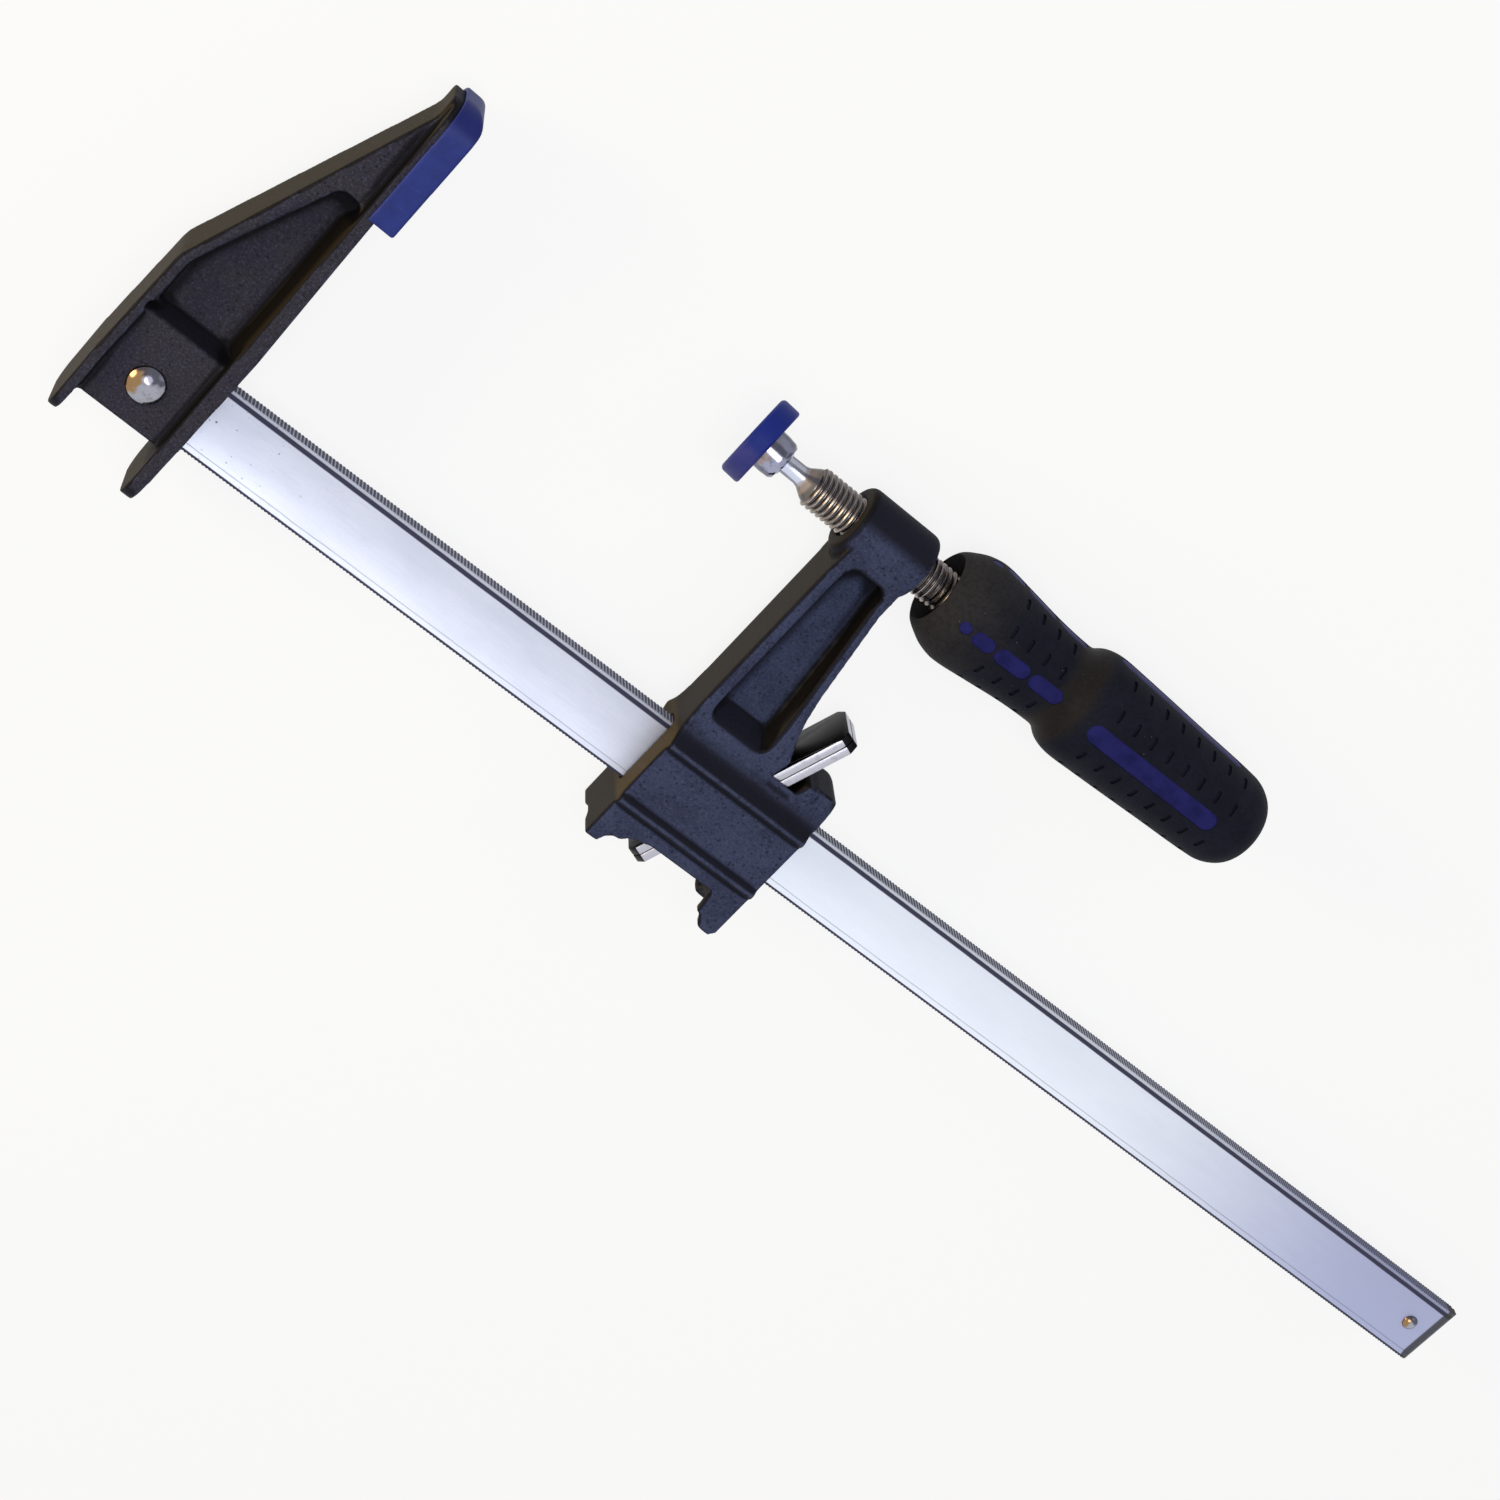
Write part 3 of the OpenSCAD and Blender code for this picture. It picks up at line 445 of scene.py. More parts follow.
@dataclass(frozen=True)
class ClutchSteel(Finish):
    """Hardened plate: dark oil-blackened faces with bright ground edges."""

    face: Ink = (22, 22, 25)
    ground: Ink = (186, 187, 199)
    stain: Ink = (44, 40, 38)
    shine: float = 0.1
    depth_mm: float = 0.02

    def dress(self, g: Graph) -> None:
        """Feeds the shader."""
        scratch = g.noise(0.45, 3, 0.6, (1, 0.05, 1))
        hazy = g.noise(3.2, 4, 0.65)
        edge = g.attribute("edge") + (g.noise(1.3, 3) - 0.5) * 0.5
        base = g.blend(self.face, (edge.rise(0.25, 0.75), self.ground),
                       (hazy.rise(0.5, 0.75) * 0.25, self.stain))
        g.feed(Base_Color=base, Metallic=0.95 - 0.1 * hazy, Roughness=0.26 + 0.2 * scratch,
               Specular_IOR_Level=self.shine)
        g.relief(scratch, self.depth_mm, 0.8)


@dataclass(frozen=True)
class MouldedPlastic(Finish):
    """Moulded plastic with a fine spark-eroded grain, soft clouds and light scuffs, and painted
    shade on faces turned towards +Y.
    """

    body: Ink
    cloud: Ink
    scuff: Ink
    rough: float = 0.42
    shine: float = 0.38
    # Painted shade on faces turned towards +Y.
    deep_shade: Ink = (14, 24, 92)
    shade_from: float = 0.2
    shade_share: float = 0.0
    grain_mm: float = 0.35
    depth_mm: float = 0.02

    def dress(self, g: Graph) -> None:
        """Feeds the shader."""
        cloudy = g.noise(6, 4, 0.6).rise(0.36, 0.68)
        grain = g.noise(self.grain_mm, 3, 0.6)
        scuffs = g.noise(1.6, 4, 0.7, (0.3, 1, 1)).rise(0.64, 0.78)
        _, north, _ = g.facing()
        # Painted shade on faces turned towards +Y, past a facing share.
        north_shade = north.rise(self.shade_from, self.shade_from + 0.3) * self.shade_share
        base = g.blend(self.body, (cloudy, self.cloud), (north_shade, self.deep_shade),
                       (scuffs * 0.35 + grain.rise(0.55, 0.8) * 0.12, self.scuff))
        g.feed(Base_Color=base, Roughness=self.rough + 0.16 * grain + 0.1 * scuffs,
               Specular_IOR_Level=self.shine)
        g.relief(grain, self.depth_mm, 0.9)


@dataclass(frozen=True)
class SoftRubber(Finish):
    """Soft matt grip: a fine leathery grain, dust specks, a paler front and a warm waist."""

    body: Ink = (13, 15, 27)
    cloud: Ink = (20, 22, 34)
    waist: Ink = (32, 27, 19)
    front: Ink = (47, 45, 45)
    speck: Ink = (120, 122, 132)
    corner: Ink = (5, 6, 12)
    waist_x_mm: float = 252.5
    waist_half_mm: float = 3.5
    front_x_mm: Point = (228, 204)
    depth_mm: float = 0.05
    shine: float = 0.1

    def dress(self, g: Graph) -> None:
        """Feeds the shader."""
        x, _, _ = g.axes()
        cloudy = g.noise(11, 4, 0.6).rise(0.36, 0.66)
        grain = g.noise(0.55, 4, 0.65)
        mottle = g.noise(1.5, 3, 0.6).rise(0.42, 0.66)
        dust = g.cells(3.4).rise(0.075, 0.035) * g.noise(7, 2).rise(0.50, 0.62)
        # A warmer, less rough band round the waist.
        waist_band = (x + (g.noise(5, 3) - 0.5) * 5).band(self.waist_x_mm, self.waist_half_mm, 4)
        near = (x + (g.noise(9, 3) - 0.5) * 20).rise(*self.front_x_mm)
        base = g.blend(self.body, (cloudy, self.cloud), (near * 0.75, self.front),
                       (waist_band * 0.65, self.waist), (mottle * 0.35, self.corner),
                       (dust * 0.55, self.speck))
        g.feed(Base_Color=base, Roughness=0.60 + 0.2 * grain - 0.12 * waist_band,
               Specular_IOR_Level=self.shine)
        g.relief(grain, self.depth_mm, 0.9)


HEAD_PAINT = Casting("head_paint", "jaw_casting", (51, 49, 61), (54, 53, 60), (42, 34, 12))
JAW_PAINT = Casting("jaw_paint", "jaw_casting", (63, 70, 99), (54, 59, 85), (40, 34, 18),
                    gold_share=0.9, grain_mm=1.2, depth_mm=0.14)
BAR_STEEL = RolledSteel("bar_steel", "bar_steel")
CHROME = PlatedSteel("chrome_plate", "plated_steel", (158, 161, 184), (96, 96, 116),
                     painted_reflection=0.6, dark_reflection_bands=0.75)
THREAD_PLATE = PlatedSteel("thread_plate", "plated_steel", (164, 164, 172), (122, 114, 102),
                           0.2, 0.6, crest_mm=6.9, root_mm=6.2, dark_reflection_bands=0.7)
RIVET_STEEL = PlatedSteel("rivet_plate", "plated_steel", (160, 162, 174), painted_reflection=1)
SPRING_WIRE = PlatedSteel("spring_wire", "spring_steel", (168, 168, 172), (110, 100, 90), 0.28)
PLATE_STEEL = ClutchSteel("clutch_plate", "clutch_steel")
BLUE = MouldedPlastic("blue_plastic", "blue_plastic", (38, 52, 128), (33, 45, 114),
                      (74, 84, 160), shine=0.2, shade_share=0.7)
PAD_BLUE = MouldedPlastic("pad_plastic", "blue_plastic", (60, 62, 128), (50, 54, 122),
                          (84, 88, 150), shine=0.15, deep_shade=(20, 38, 122), shade_from=-0.15,
                          shade_share=1)
CORE_BLUE = MouldedPlastic("core_plastic", "core_plastic", (37, 37, 98), (28, 28, 80),
                           (62, 62, 126), shine=0.06)
NYLON = MouldedPlastic("liner_nylon", "liner_plastic", (214, 208, 190), (200, 194, 176),
                       (228, 224, 210))
RUBBER = SoftRubber("grip_rubber", "grip_rubber")


# Shapes


def shifted(bm: BMesh, x: float = 0.0, y: float = 0.0, z: float = 0.0) -> BMesh:
    """The mesh, moved by x, y and z in mm."""
    bmesh.ops.translate(bm, verts=bm.verts, vec=(x * MM, y * MM, z * MM))
    return bm


def turned(bm: BMesh, degrees: float, axis: str) -> BMesh:
    """The mesh, turned about an axis of the frame."""
    bmesh.ops.rotate(bm, verts=bm.verts, cent=(0, 0, 0),
                     matrix=Matrix.Rotation(math.radians(degrees), 3, axis))
    return bm


def faced(bm: BMesh) -> BMesh:
    """The mesh, with its faces turned outwards."""
    bmesh.ops.recalc_face_normals(bm, faces=bm.faces)
    return bm


def sheet(points: Iterable[Triple]) -> BMesh:
    """A mesh of one face, through points in mm."""
    bm = bmesh.new()
    bm.faces.new([bm.verts.new((x * MM, y * MM, z * MM)) for x, y, z in points])
    return bm


def swept(bm: BMesh, turns: float, steps: int, pitch_mm: float = 0.0,
          closed: bool = False) -> BMesh:
    """The mesh that a section sweeps round the X axis and along it.

    Args:
        bm: The section, which becomes the swept mesh.
        turns: Turns round the axis.
        steps: Steps of the whole sweep.
        pitch_mm: Way along the axis at each step, in mm.
        closed: Whether the end meets the start.
    """
    bmesh.ops.spin(bm, geom=bm.faces[:] + bm.edges[:] + bm.verts[:], cent=(0, 0, 0),
                   axis=(1, 0, 0), dvec=(pitch_mm * MM, 0, 0), angle=math.tau * turns,
                   steps=steps, use_merge=closed)
    return bm


def lathe(profile: Sequence[Point], steps: int) -> BMesh:
    """A solid turned round the X axis in steps, from a profile of x and radius in mm."""
    bm = bmesh.new()
    verts = [bm.verts.new((x * MM, r * MM, 0)) for x, r in profile]
    for pair in zip(verts, verts[1:]):
        bm.edges.new(pair)
    swept(bm, 1, steps, closed=True)
    bmesh.ops.remove_doubles(bm, verts=bm.verts, dist=1e-7)
    return faced(bm)


def arc(x: float, r: float, radius: float, start: float, end: float, count: int) -> list[Point]:
    """Points of an arc round x and r in mm, between angles in degrees from the axis."""
    angles = [math.radians(start + (end - start) * i / (count - 1)) for i in range(count)]
    return [(x + radius * math.cos(a), max(r + radius * math.sin(a), 0)) for a in angles]


def curve_through(points: Sequence[Point], parts: int) -> list[Point]:
    """Points along a smooth curve, from the second point to the last but one.

    Args:
        points: The points, with one extra before the first and one after the last.
        parts: Parts that each stretch is cut into.
    """
    path: list[Point] = []
    for before, a, b, after in zip(points, points[1:], points[2:], points[3:]):
        p, q = Vector(a), Vector(b)
        reach = (q - p).length / 3
        out = (q - Vector(before)).normalized() * reach
        back = (Vector(after) - p).normalized() * reach
        path += [(v.x, v.y) for v in interpolate_bezier(p, p + out, q - back, q, parts + 1)[:-1]]
    return path + [tuple(points[-2])]


def cad_copy(node: str) -> BMesh:
    """A merged copy of a CAD node's mesh, with its flat faces whole."""
    bm = bmesh.new()
    bm.from_mesh(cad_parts[node].data)
    bmesh.ops.remove_doubles(bm, verts=bm.verts, dist=2e-6)
    bmesh.ops.dissolve_limit(bm, angle_limit=math.radians(1), verts=bm.verts, edges=bm.edges)
    return bm


def verts_in(geom: Iterable[Any]) -> list[bmesh.types.BMVert]:
    """The verts among the parts of a mesh that an operator gives back."""
    return [part for part in geom if isinstance(part, bmesh.types.BMVert)]


def prism(outline: Sequence[Point], low: float, high: float) -> BMesh:
    """An outline in mm, in X and Y, drawn up from one height to another."""
    bm = sheet((x, y, low) for x, y in outline)
    raised = bmesh.ops.extrude_face_region(bm, geom=bm.faces[:])["geom"]
    bmesh.ops.translate(bm, verts=verts_in(raised), vec=(0, 0, (high - low) * MM))
    return faced(bm)


def added(first: BMesh, second: BMesh) -> BMesh:
    """The first mesh with the second beside it, which is freed."""
    loose = bpy.data.meshes.new("loose")
    second.to_mesh(loose)
    second.free()
    first.from_mesh(loose)
    bpy.data.meshes.remove(loose)
    return first


def mirrored(bm: BMesh) -> BMesh:
    """The mesh with its mirror image below the middle plane."""
    twin = bmesh.ops.duplicate(bm, geom=bm.verts[:] + bm.edges[:] + bm.faces[:])["geom"]
    bmesh.ops.scale(bm, vec=(1, 1, -1), verts=verts_in(twin))
    return faced(bm)


def shown(name: str, data: bpy.types.ID) -> Object:
    """A new object in the scene with this data."""
    made = bpy.data.objects.new(name, data)
    bpy.context.scene.collection.objects.link(made)
    return made


def held(bm: BMesh, name: str) -> Object:
    """A new object in the scene that takes over the mesh."""
    mesh = bpy.data.meshes.new(name)
    bm.to_mesh(mesh)
    bm.free()
    return shown(name, mesh)


def modified(bm: BMesh, kind: str, **settings: Any) -> BMesh:
    """The mesh, which is used up, after a modifier of this kind with these settings."""
    holder = held(bm, "passing")
    change = holder.modifiers.new("change", kind)
    for key, value in settings.items():
        setattr(change, key, value)
    made = bmesh.new()
    made.from_object(holder, bpy.context.evaluated_depsgraph_get())
    bpy.data.meshes.remove(holder.data)  # The object goes with it.
    return made


def combined(base: BMesh, cut: Cut, *tools: BMesh) -> BMesh:
    """The base solid joined with, cut by or shared with tools in turn, all of them used up."""
    for tool in tools:
        cutter = held(tool, "tool")
        base = modified(base, "BOOLEAN", operation=cut.value, solver="MANIFOLD", object=cutter)
        bpy.data.meshes.remove(cutter.data)
    return base


def cast_skin(bm: BMesh, voxel_mm: float, smoothing: int) -> BMesh:
    """A solid rounded as a casting is, with its creases and hollows marked.

    Args:
        bm: The solid, which is used up.
        voxel_mm: Size of the skin's squares in mm.
        smoothing: Rounds of smoothing.
    """
    skin = modified(bm, "REMESH", mode="VOXEL", voxel_size=voxel_mm * MM)
    for _ in range(smoothing):
        bmesh.ops.smooth_vert(skin, verts=skin.verts, factor=0.5, use_axis_x=True,
                              use_axis_y=True, use_axis_z=True)
    skin.normal_update()
    mark_creases(skin)
    mark_hollows(skin)
    return skin


def mark_creases(bm: BMesh) -> None:
    """Writes how sharply each part of a skin turns: high on edges and low in corners."""
    layer = bm.verts.layers.float.new("crease")
    for v in bm.verts:
        spokes = [(e.other_vert(v).co - v.co).normalized() for e in v.link_edges]
        v[layer] = -2 * sum(spoke.dot(v.normal) for spoke in spokes) / max(len(spokes), 1)
    spread(bm, layer, 1)


def mark_hollows(bm: BMesh) -> None:
    """Writes how closed in each part of a skin is, by rays that start just above it."""
    reach, lift, least_cosine = 12 * MM, 0.025, 0.25
    layer = bm.verts.layers.float.new("hollow")
    tree = BVHTree.FromBMesh(bm)
    rays = [Vector(way).normalized() for way in product((-1, 0, 1), repeat=3) if any(way)]
    for v in bm.verts:
        start = v.co + v.normal * (reach * lift)
        total = closed = 0.0
        for ray in rays:
            share = ray.dot(v.normal)
            if share > least_cosine:
                total += share
                gone = tree.ray_cast(start, ray, reach)[3]
                closed += 0 if gone is None else share * (1 - gone / reach)
        v[layer] = closed / total
    spread(bm, layer, 2)


def spread(bm: BMesh, layer: Any, rounds: int) -> None:
    """Evens an attribute out over neighbouring parts."""
    for _ in range(rounds):
        raw = {v: v[layer] for v in bm.verts}
        for v in bm.verts:
            near = [raw[e.other_vert(v)] for e in v.link_edges]
            v[layer] = (raw[v] + sum(near)) / (1 + len(near))


def piece(bm: BMesh, name: str, finish: Finish, body: str, *nodes: str,
          sharp: float = 180.0) -> Object:
    """A new object that is a finished piece, with what it stands for.

    Args:
        bm: The mesh, which is used up.
        name: The piece's name.
        finish: The finish that dresses it.
        body: The CAD body that it rides on.
        nodes: The CAD nodes that it replaces.
        sharp: Angle in degrees past which an edge stays sharp.
    """
    bm.normal_update()
    facing = bm.verts.layers.float_vector.new("facing")
    for v in bm.verts:
        v[facing] = v.normal
    made = held(bm, name)
    mesh = made.data
    mesh.shade_smooth()
    mesh.set_sharp_from_angle(angle=math.radians(sharp))
    mesh.materials.append(finish.make())
    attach(made, body)
    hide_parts(*nodes)
    LOG.info("%s: %d faces on %s", name, len(mesh.polygons), body)
    return made


# Sub-assemblies


class Bar:
    """The rolled bar with its recessed web, toothed narrow edges and bevelled free end."""

    tail_x = -38.5
    reach = 534.8
    half_w = 12.7
    half_t = 3
    rim_w = 1.2
    slope_w = 1.7
    web = 2.4
    round_r = 0.45
    tooth_pitch = 1.3
    tooth_depth = 0.3
    end_bevel = 2.2
    end_drop = 1.5

    def section(self) -> list[Point]:
        """Points of y and z round the bar's section, in mm."""
        top = [(self.half_w, 0), (self.half_w, self.half_t - self.round_r),
               (self.half_w - self.round_r, self.half_t), (self.half_w - self.rim_w, self.half_t),
               (self.half_w - self.rim_w - self.slope_w, self.web)]
        upper = top + [(-y, z) for y, z in reversed(top)]
        return upper + [(y, -z) for y, z in upper[-2:0:-1]]

    def build(self) -> None:
        """Draws the section along the bar, cuts the teeth and bevels the end."""
        steps = 2 * round((self.reach - self.tail_x) / self.tooth_pitch)
        pitch = (self.reach - self.tail_x) / steps
        bm = swept(sheet((self.tail_x, y, z) for y, z in self.section()), 0, steps, pitch)
        for v in bm.verts:
            ring = round((v.co.x / MM - self.tail_x) / pitch)
            if ring % 2 and abs(v.co.y) > (self.half_w - self.round_r / 2) * MM:
                v.co.y -= math.copysign(self.tooth_depth * MM, v.co.y)
            past = v.co.x / MM - (self.reach - self.end_bevel)
            if past > 0:
                most = self.half_t - self.end_drop * past / self.end_bevel
                v.co.z = max(-most * MM, min(most * MM, v.co.z))
        bm = faced(shifted(bm, y=BAR_Y))
        piece(bm, "bar_rolled", BAR_STEEL, "frame", "bar", sharp=25)


@dataclass
class Stud:
    """A rivet or pin with a domed head on each side of the bar."""

    x: float
    head_d: float
    rise: float
    seat: float
    shank_d: float
    rim: float = 0.5
    steps: int = 48

    def build(self, name: str, node: str) -> None:
        """Turns the stud and stands it up, as a piece of this name in a CAD node's place."""
        radius = self.head_d / 2
        ball = (radius * radius + (self.rise - self.rim) ** 2) / (2 * (self.rise - self.rim))
        edge = math.degrees(math.asin(radius / ball))
        dome = arc(self.seat + self.rise - ball, 0, ball, 0, edge, 12)
        upper = dome + [(self.seat + self.rim * 0.4, radius + self.rim * 0.02),
                        (self.seat, radius - self.rim * 0.3), (self.seat, self.shank_d / 2)]
        bm = lathe(upper + [(-x, r) for x, r in reversed(upper)], self.steps)
        bm = shifted(turned(bm, -90, "Y"), self.x, BAR_Y)
        piece(bm, name, RIVET_STEEL, "frame", node, sharp=50)


class FixedJaw:
    """The riveted head casting with its fins, pockets and blue cap."""

    toe = 0.95
    face_x = -6.6
    flange_t = 4.3
    pocket_z = (3.6, 10.4)
    foot_w = 3.6
    voxel_mm = 0.64
    cap_voxel_mm = 0.42

    def draft(self) -> BMesh:
        """The sloped foot of the pocket's wall on the clamping side."""
        low, high = self.pocket_z
        wall = -self.flange_t + 0.6
        foot = wall - self.foot_w
        bm = prism([(wall, -79), (wall, -17.2), (foot, -24), (foot, -77)], low, high)
        for v in bm.verts:
            if v.co.z > (high - 1) * MM and v.co.x < (wall - 1) * MM:
                v.co.x = (wall - 0.7) * MM
        return turned(shifted(mirrored(bm), self.face_x), -self.toe, "Z")

    def build(self) -> None:
        """Casts the head, moulds its cap, and sets the rivet and the stop pin."""
        head = combined(cad_copy("fixed_jaw"), Cut.JOIN, self.draft())
        head = cast_skin(head, self.voxel_mm, 2)
        piece(head, "head_casting", HEAD_PAINT, "frame", "fixed_jaw")
        cap = cast_skin(cad_copy("fixed_jaw_cap"), self.cap_voxel_mm, 4)
        piece(cap, "jaw_cap", BLUE, "frame", "fixed_jaw_cap")
        Stud(-26.87, 12.3, 3, 10, 8).build("head_rivet_domed", "head_rivet")
        Stud(523.6, 5.6, 1.8, 2.4, 4, 0.3, 32).build("stop_pin_domed", "bar_stop_pin")


class SlidingJaw:
    """The sliding casting with its boss, arm pockets, beads and feet."""

    front_x = 166
    pocket_z = (2.6, 9.4)
    steep = 0.8
    lip_z = 11
    cut_z = (13.6, 32)
    cut_y = 14.6
    voxel_mm = 0.66

    def foot(self, outline: Sequence[Point]) -> BMesh:
        """Wedges at the foot of a wall of the arm's pockets.

        Args:
            outline: A wedge's foot: points in the wall, and as many on the floor, back again.
        """
        low, high = self.pocket_z
        bm = prism(outline, low, high)
        half = len(outline) // 2
        for v in bm.verts:
            if v.co.z < (high - 1) * MM:
                continue
            for (x, y), (near_x, near_y) in zip(outline[half:], outline[half - 1::-1]):
                if abs(v.co.x - x * MM) < 1e-6 and abs(v.co.y - y * MM) < 1e-6:
                    v.co.x += (near_x - x) * self.steep * MM
                    v.co.y += (near_y - y) * self.steep * MM
                    break
        return mirrored(shifted(bm, self.front_x, BAR_Y))

    def shoulder_cut(self) -> BMesh:
        """Wedges that take the upper edges off the shoulder's rear end, more so further out."""
        inner, outer = self.cut_z
        bm = prism([(44.5, 15.4), (59.5, 2.4), (59.5, 18), (44.5, 18)], -outer, -inner)
        for v in bm.verts:
            if v.co.z > -(inner + 1) * MM and v.co.y < 10 * MM:
                v.co.y = self.cut_y * MM
        return mirrored(shifted(turned(bm, 90, "X"), self.front_x, BAR_Y))

    def lip(self) -> BMesh:
        """The thick rear edge of the slot's mouth, behind the clutch plates."""
        outline = [(49, 14.5), (43.4, 14.5), (43.6, 20), (44.8, 25.6), (45.8, 26.6),
                   (49, 26.6)]
        return prism([(self.front_x + x, BAR_Y + y) for x, y in outline], -self.lip_z, self.lip_z)

    def build(self) -> None:
        """Casts the jaw."""
        rear = [(28, 23.6), (27.4, 35.6), (19.6, 86), (19.4, 91.4)]
        floor = [(x - reach, y) for (x, y), reach in zip(rear, (4.4, 4.4, 1.6, 1.4))]
        low = [(3.6, 23.7), (28.6, 23.7), (28.6, 30.4), (3.6, 30.4)]
        jaw = combined(cad_copy("sliding_jaw"), Cut.JOIN, self.foot(rear + floor[::-1]),
                       self.foot(low), self.lip())
        jaw = combined(jaw, Cut.TAKE, self.shoulder_cut())
        jaw = cast_skin(jaw, self.voxel_mm, 2)
        piece(jaw, "sliding_casting", JAW_PAINT, "carriage", "sliding_jaw")


class Clutch:
    """The two gripping plates and the spring that tilts them."""

    bevel_mm = 0.35
    ground_m2 = (14e-6, 300e-6)
    wire_r = 0.45
    coil_r = 3.25
    turns = 7
    steps = 28
    sides = 10
    axis_y = -117.4
    squash_x = 216
    kept_share = 0.56

    def plate(self, node: str) -> None:
        """Breaks the edges of a CAD node's plate and marks where it is ground."""
        bm = cad_copy(node)
        layer = bm.verts.layers.float.new("edge")
        bmesh.ops.bevel(bm, geom=bm.edges[:], offset=self.bevel_mm * MM, segments=2,
                        affect="EDGES", profile=0.5, material=-1, clamp_overlap=True)
        least, most = self.ground_m2
        for v in bm.verts:
            v[layer] = float(least < max(f.calc_area() for f in v.link_faces) < most)
        piece(bm, node + "_ground", PLATE_STEEL, "clutch", node, sharp=30)

    def spring(self) -> None:
        """Coils the spring between the rear plate and the rear wall."""
        low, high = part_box("clutch_spring")
        length = (high.x - low.x) / MM - 2 * self.wire_r
        count = self.turns * self.steps
        bm = bmesh.new()
        bmesh.ops.create_circle(bm, cap_ends=True, radius=self.wire_r * MM, segments=self.sides)
        bmesh.ops.translate(bm, verts=bm.verts, vec=(low.x + self.wire_r * MM, self.coil_r * MM, 0))
        bm = faced(shifted(swept(bm, self.turns, count, length / count), y=self.axis_y))
        coil = piece(bm, "clutch_spring_coil", SPRING_WIRE, "carriage",
                     "clutch_spring", sharp=60)
        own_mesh(coil)

    def build(self) -> None:
        """Makes the plates and the spring."""
        self.plate("clutch_plate_front")
        self.plate("clutch_plate_rear")
        self.spring()


class Spindle:
    """The threaded spindle with its neck and ball."""

    ball_r = 4.6
    neck_r = 3.25
    neck_end = 142.7
    thread_from = 146.7
    major_r = 7
    minor_r = 5.85
    pitch = 2
    turns = 30
    tang_r = 4.5
    tang_end = 268.7
    steps = 36

    def shaft(self) -> BMesh:
        """The ball, the neck, the core of the thread and the tang."""
        leave = math.degrees(math.asin(self.neck_r / self.ball_r))
        thread_end = self.thread_from + self.turns * self.pitch
        return lathe(arc(BALL_X, 0, self.ball_r, 180, leave, 14) + [
            (BALL_X + 4.4, self.neck_r), (self.neck_end - 1, self.neck_r),
            (self.neck_end + 0.4, self.neck_r + 0.35), (self.thread_from - 0.8, self.minor_r - 0.4),
            (self.thread_from, self.minor_r), (thread_end, self.minor_r),
            (thread_end, self.tang_r), (self.tang_end - 1, self.tang_r),
            (self.tang_end, self.tang_r - 1), (self.tang_end, 0)], self.steps)

    def ridge(self) -> BMesh:
        """The thread's ridge, wound round the core."""
        root, crest, half = self.minor_r - 0.1, self.pitch / 9, self.pitch / 2
        near_top = self.major_r - 0.08
        start = self.thread_from - self.pitch * 0.3
        section = [(0.02, root), (half - crest, near_top), (half - crest * 0.6, self.major_r),
                   (half + crest * 0.6, self.major_r), (half + crest, near_top),
                   (self.pitch - 0.02, root)]
        return faced(swept(sheet((start + x, r, 0) for x, r in section), self.turns - 1,
                           (self.turns - 1) * self.steps, self.pitch / self.steps))

    def build(self) -> None:
        """Makes the spindle."""
        piece(added(self.shaft(), self.ridge()), "spindle_threaded", THREAD_PLATE, "screw",
              "spindle", sharp=28)


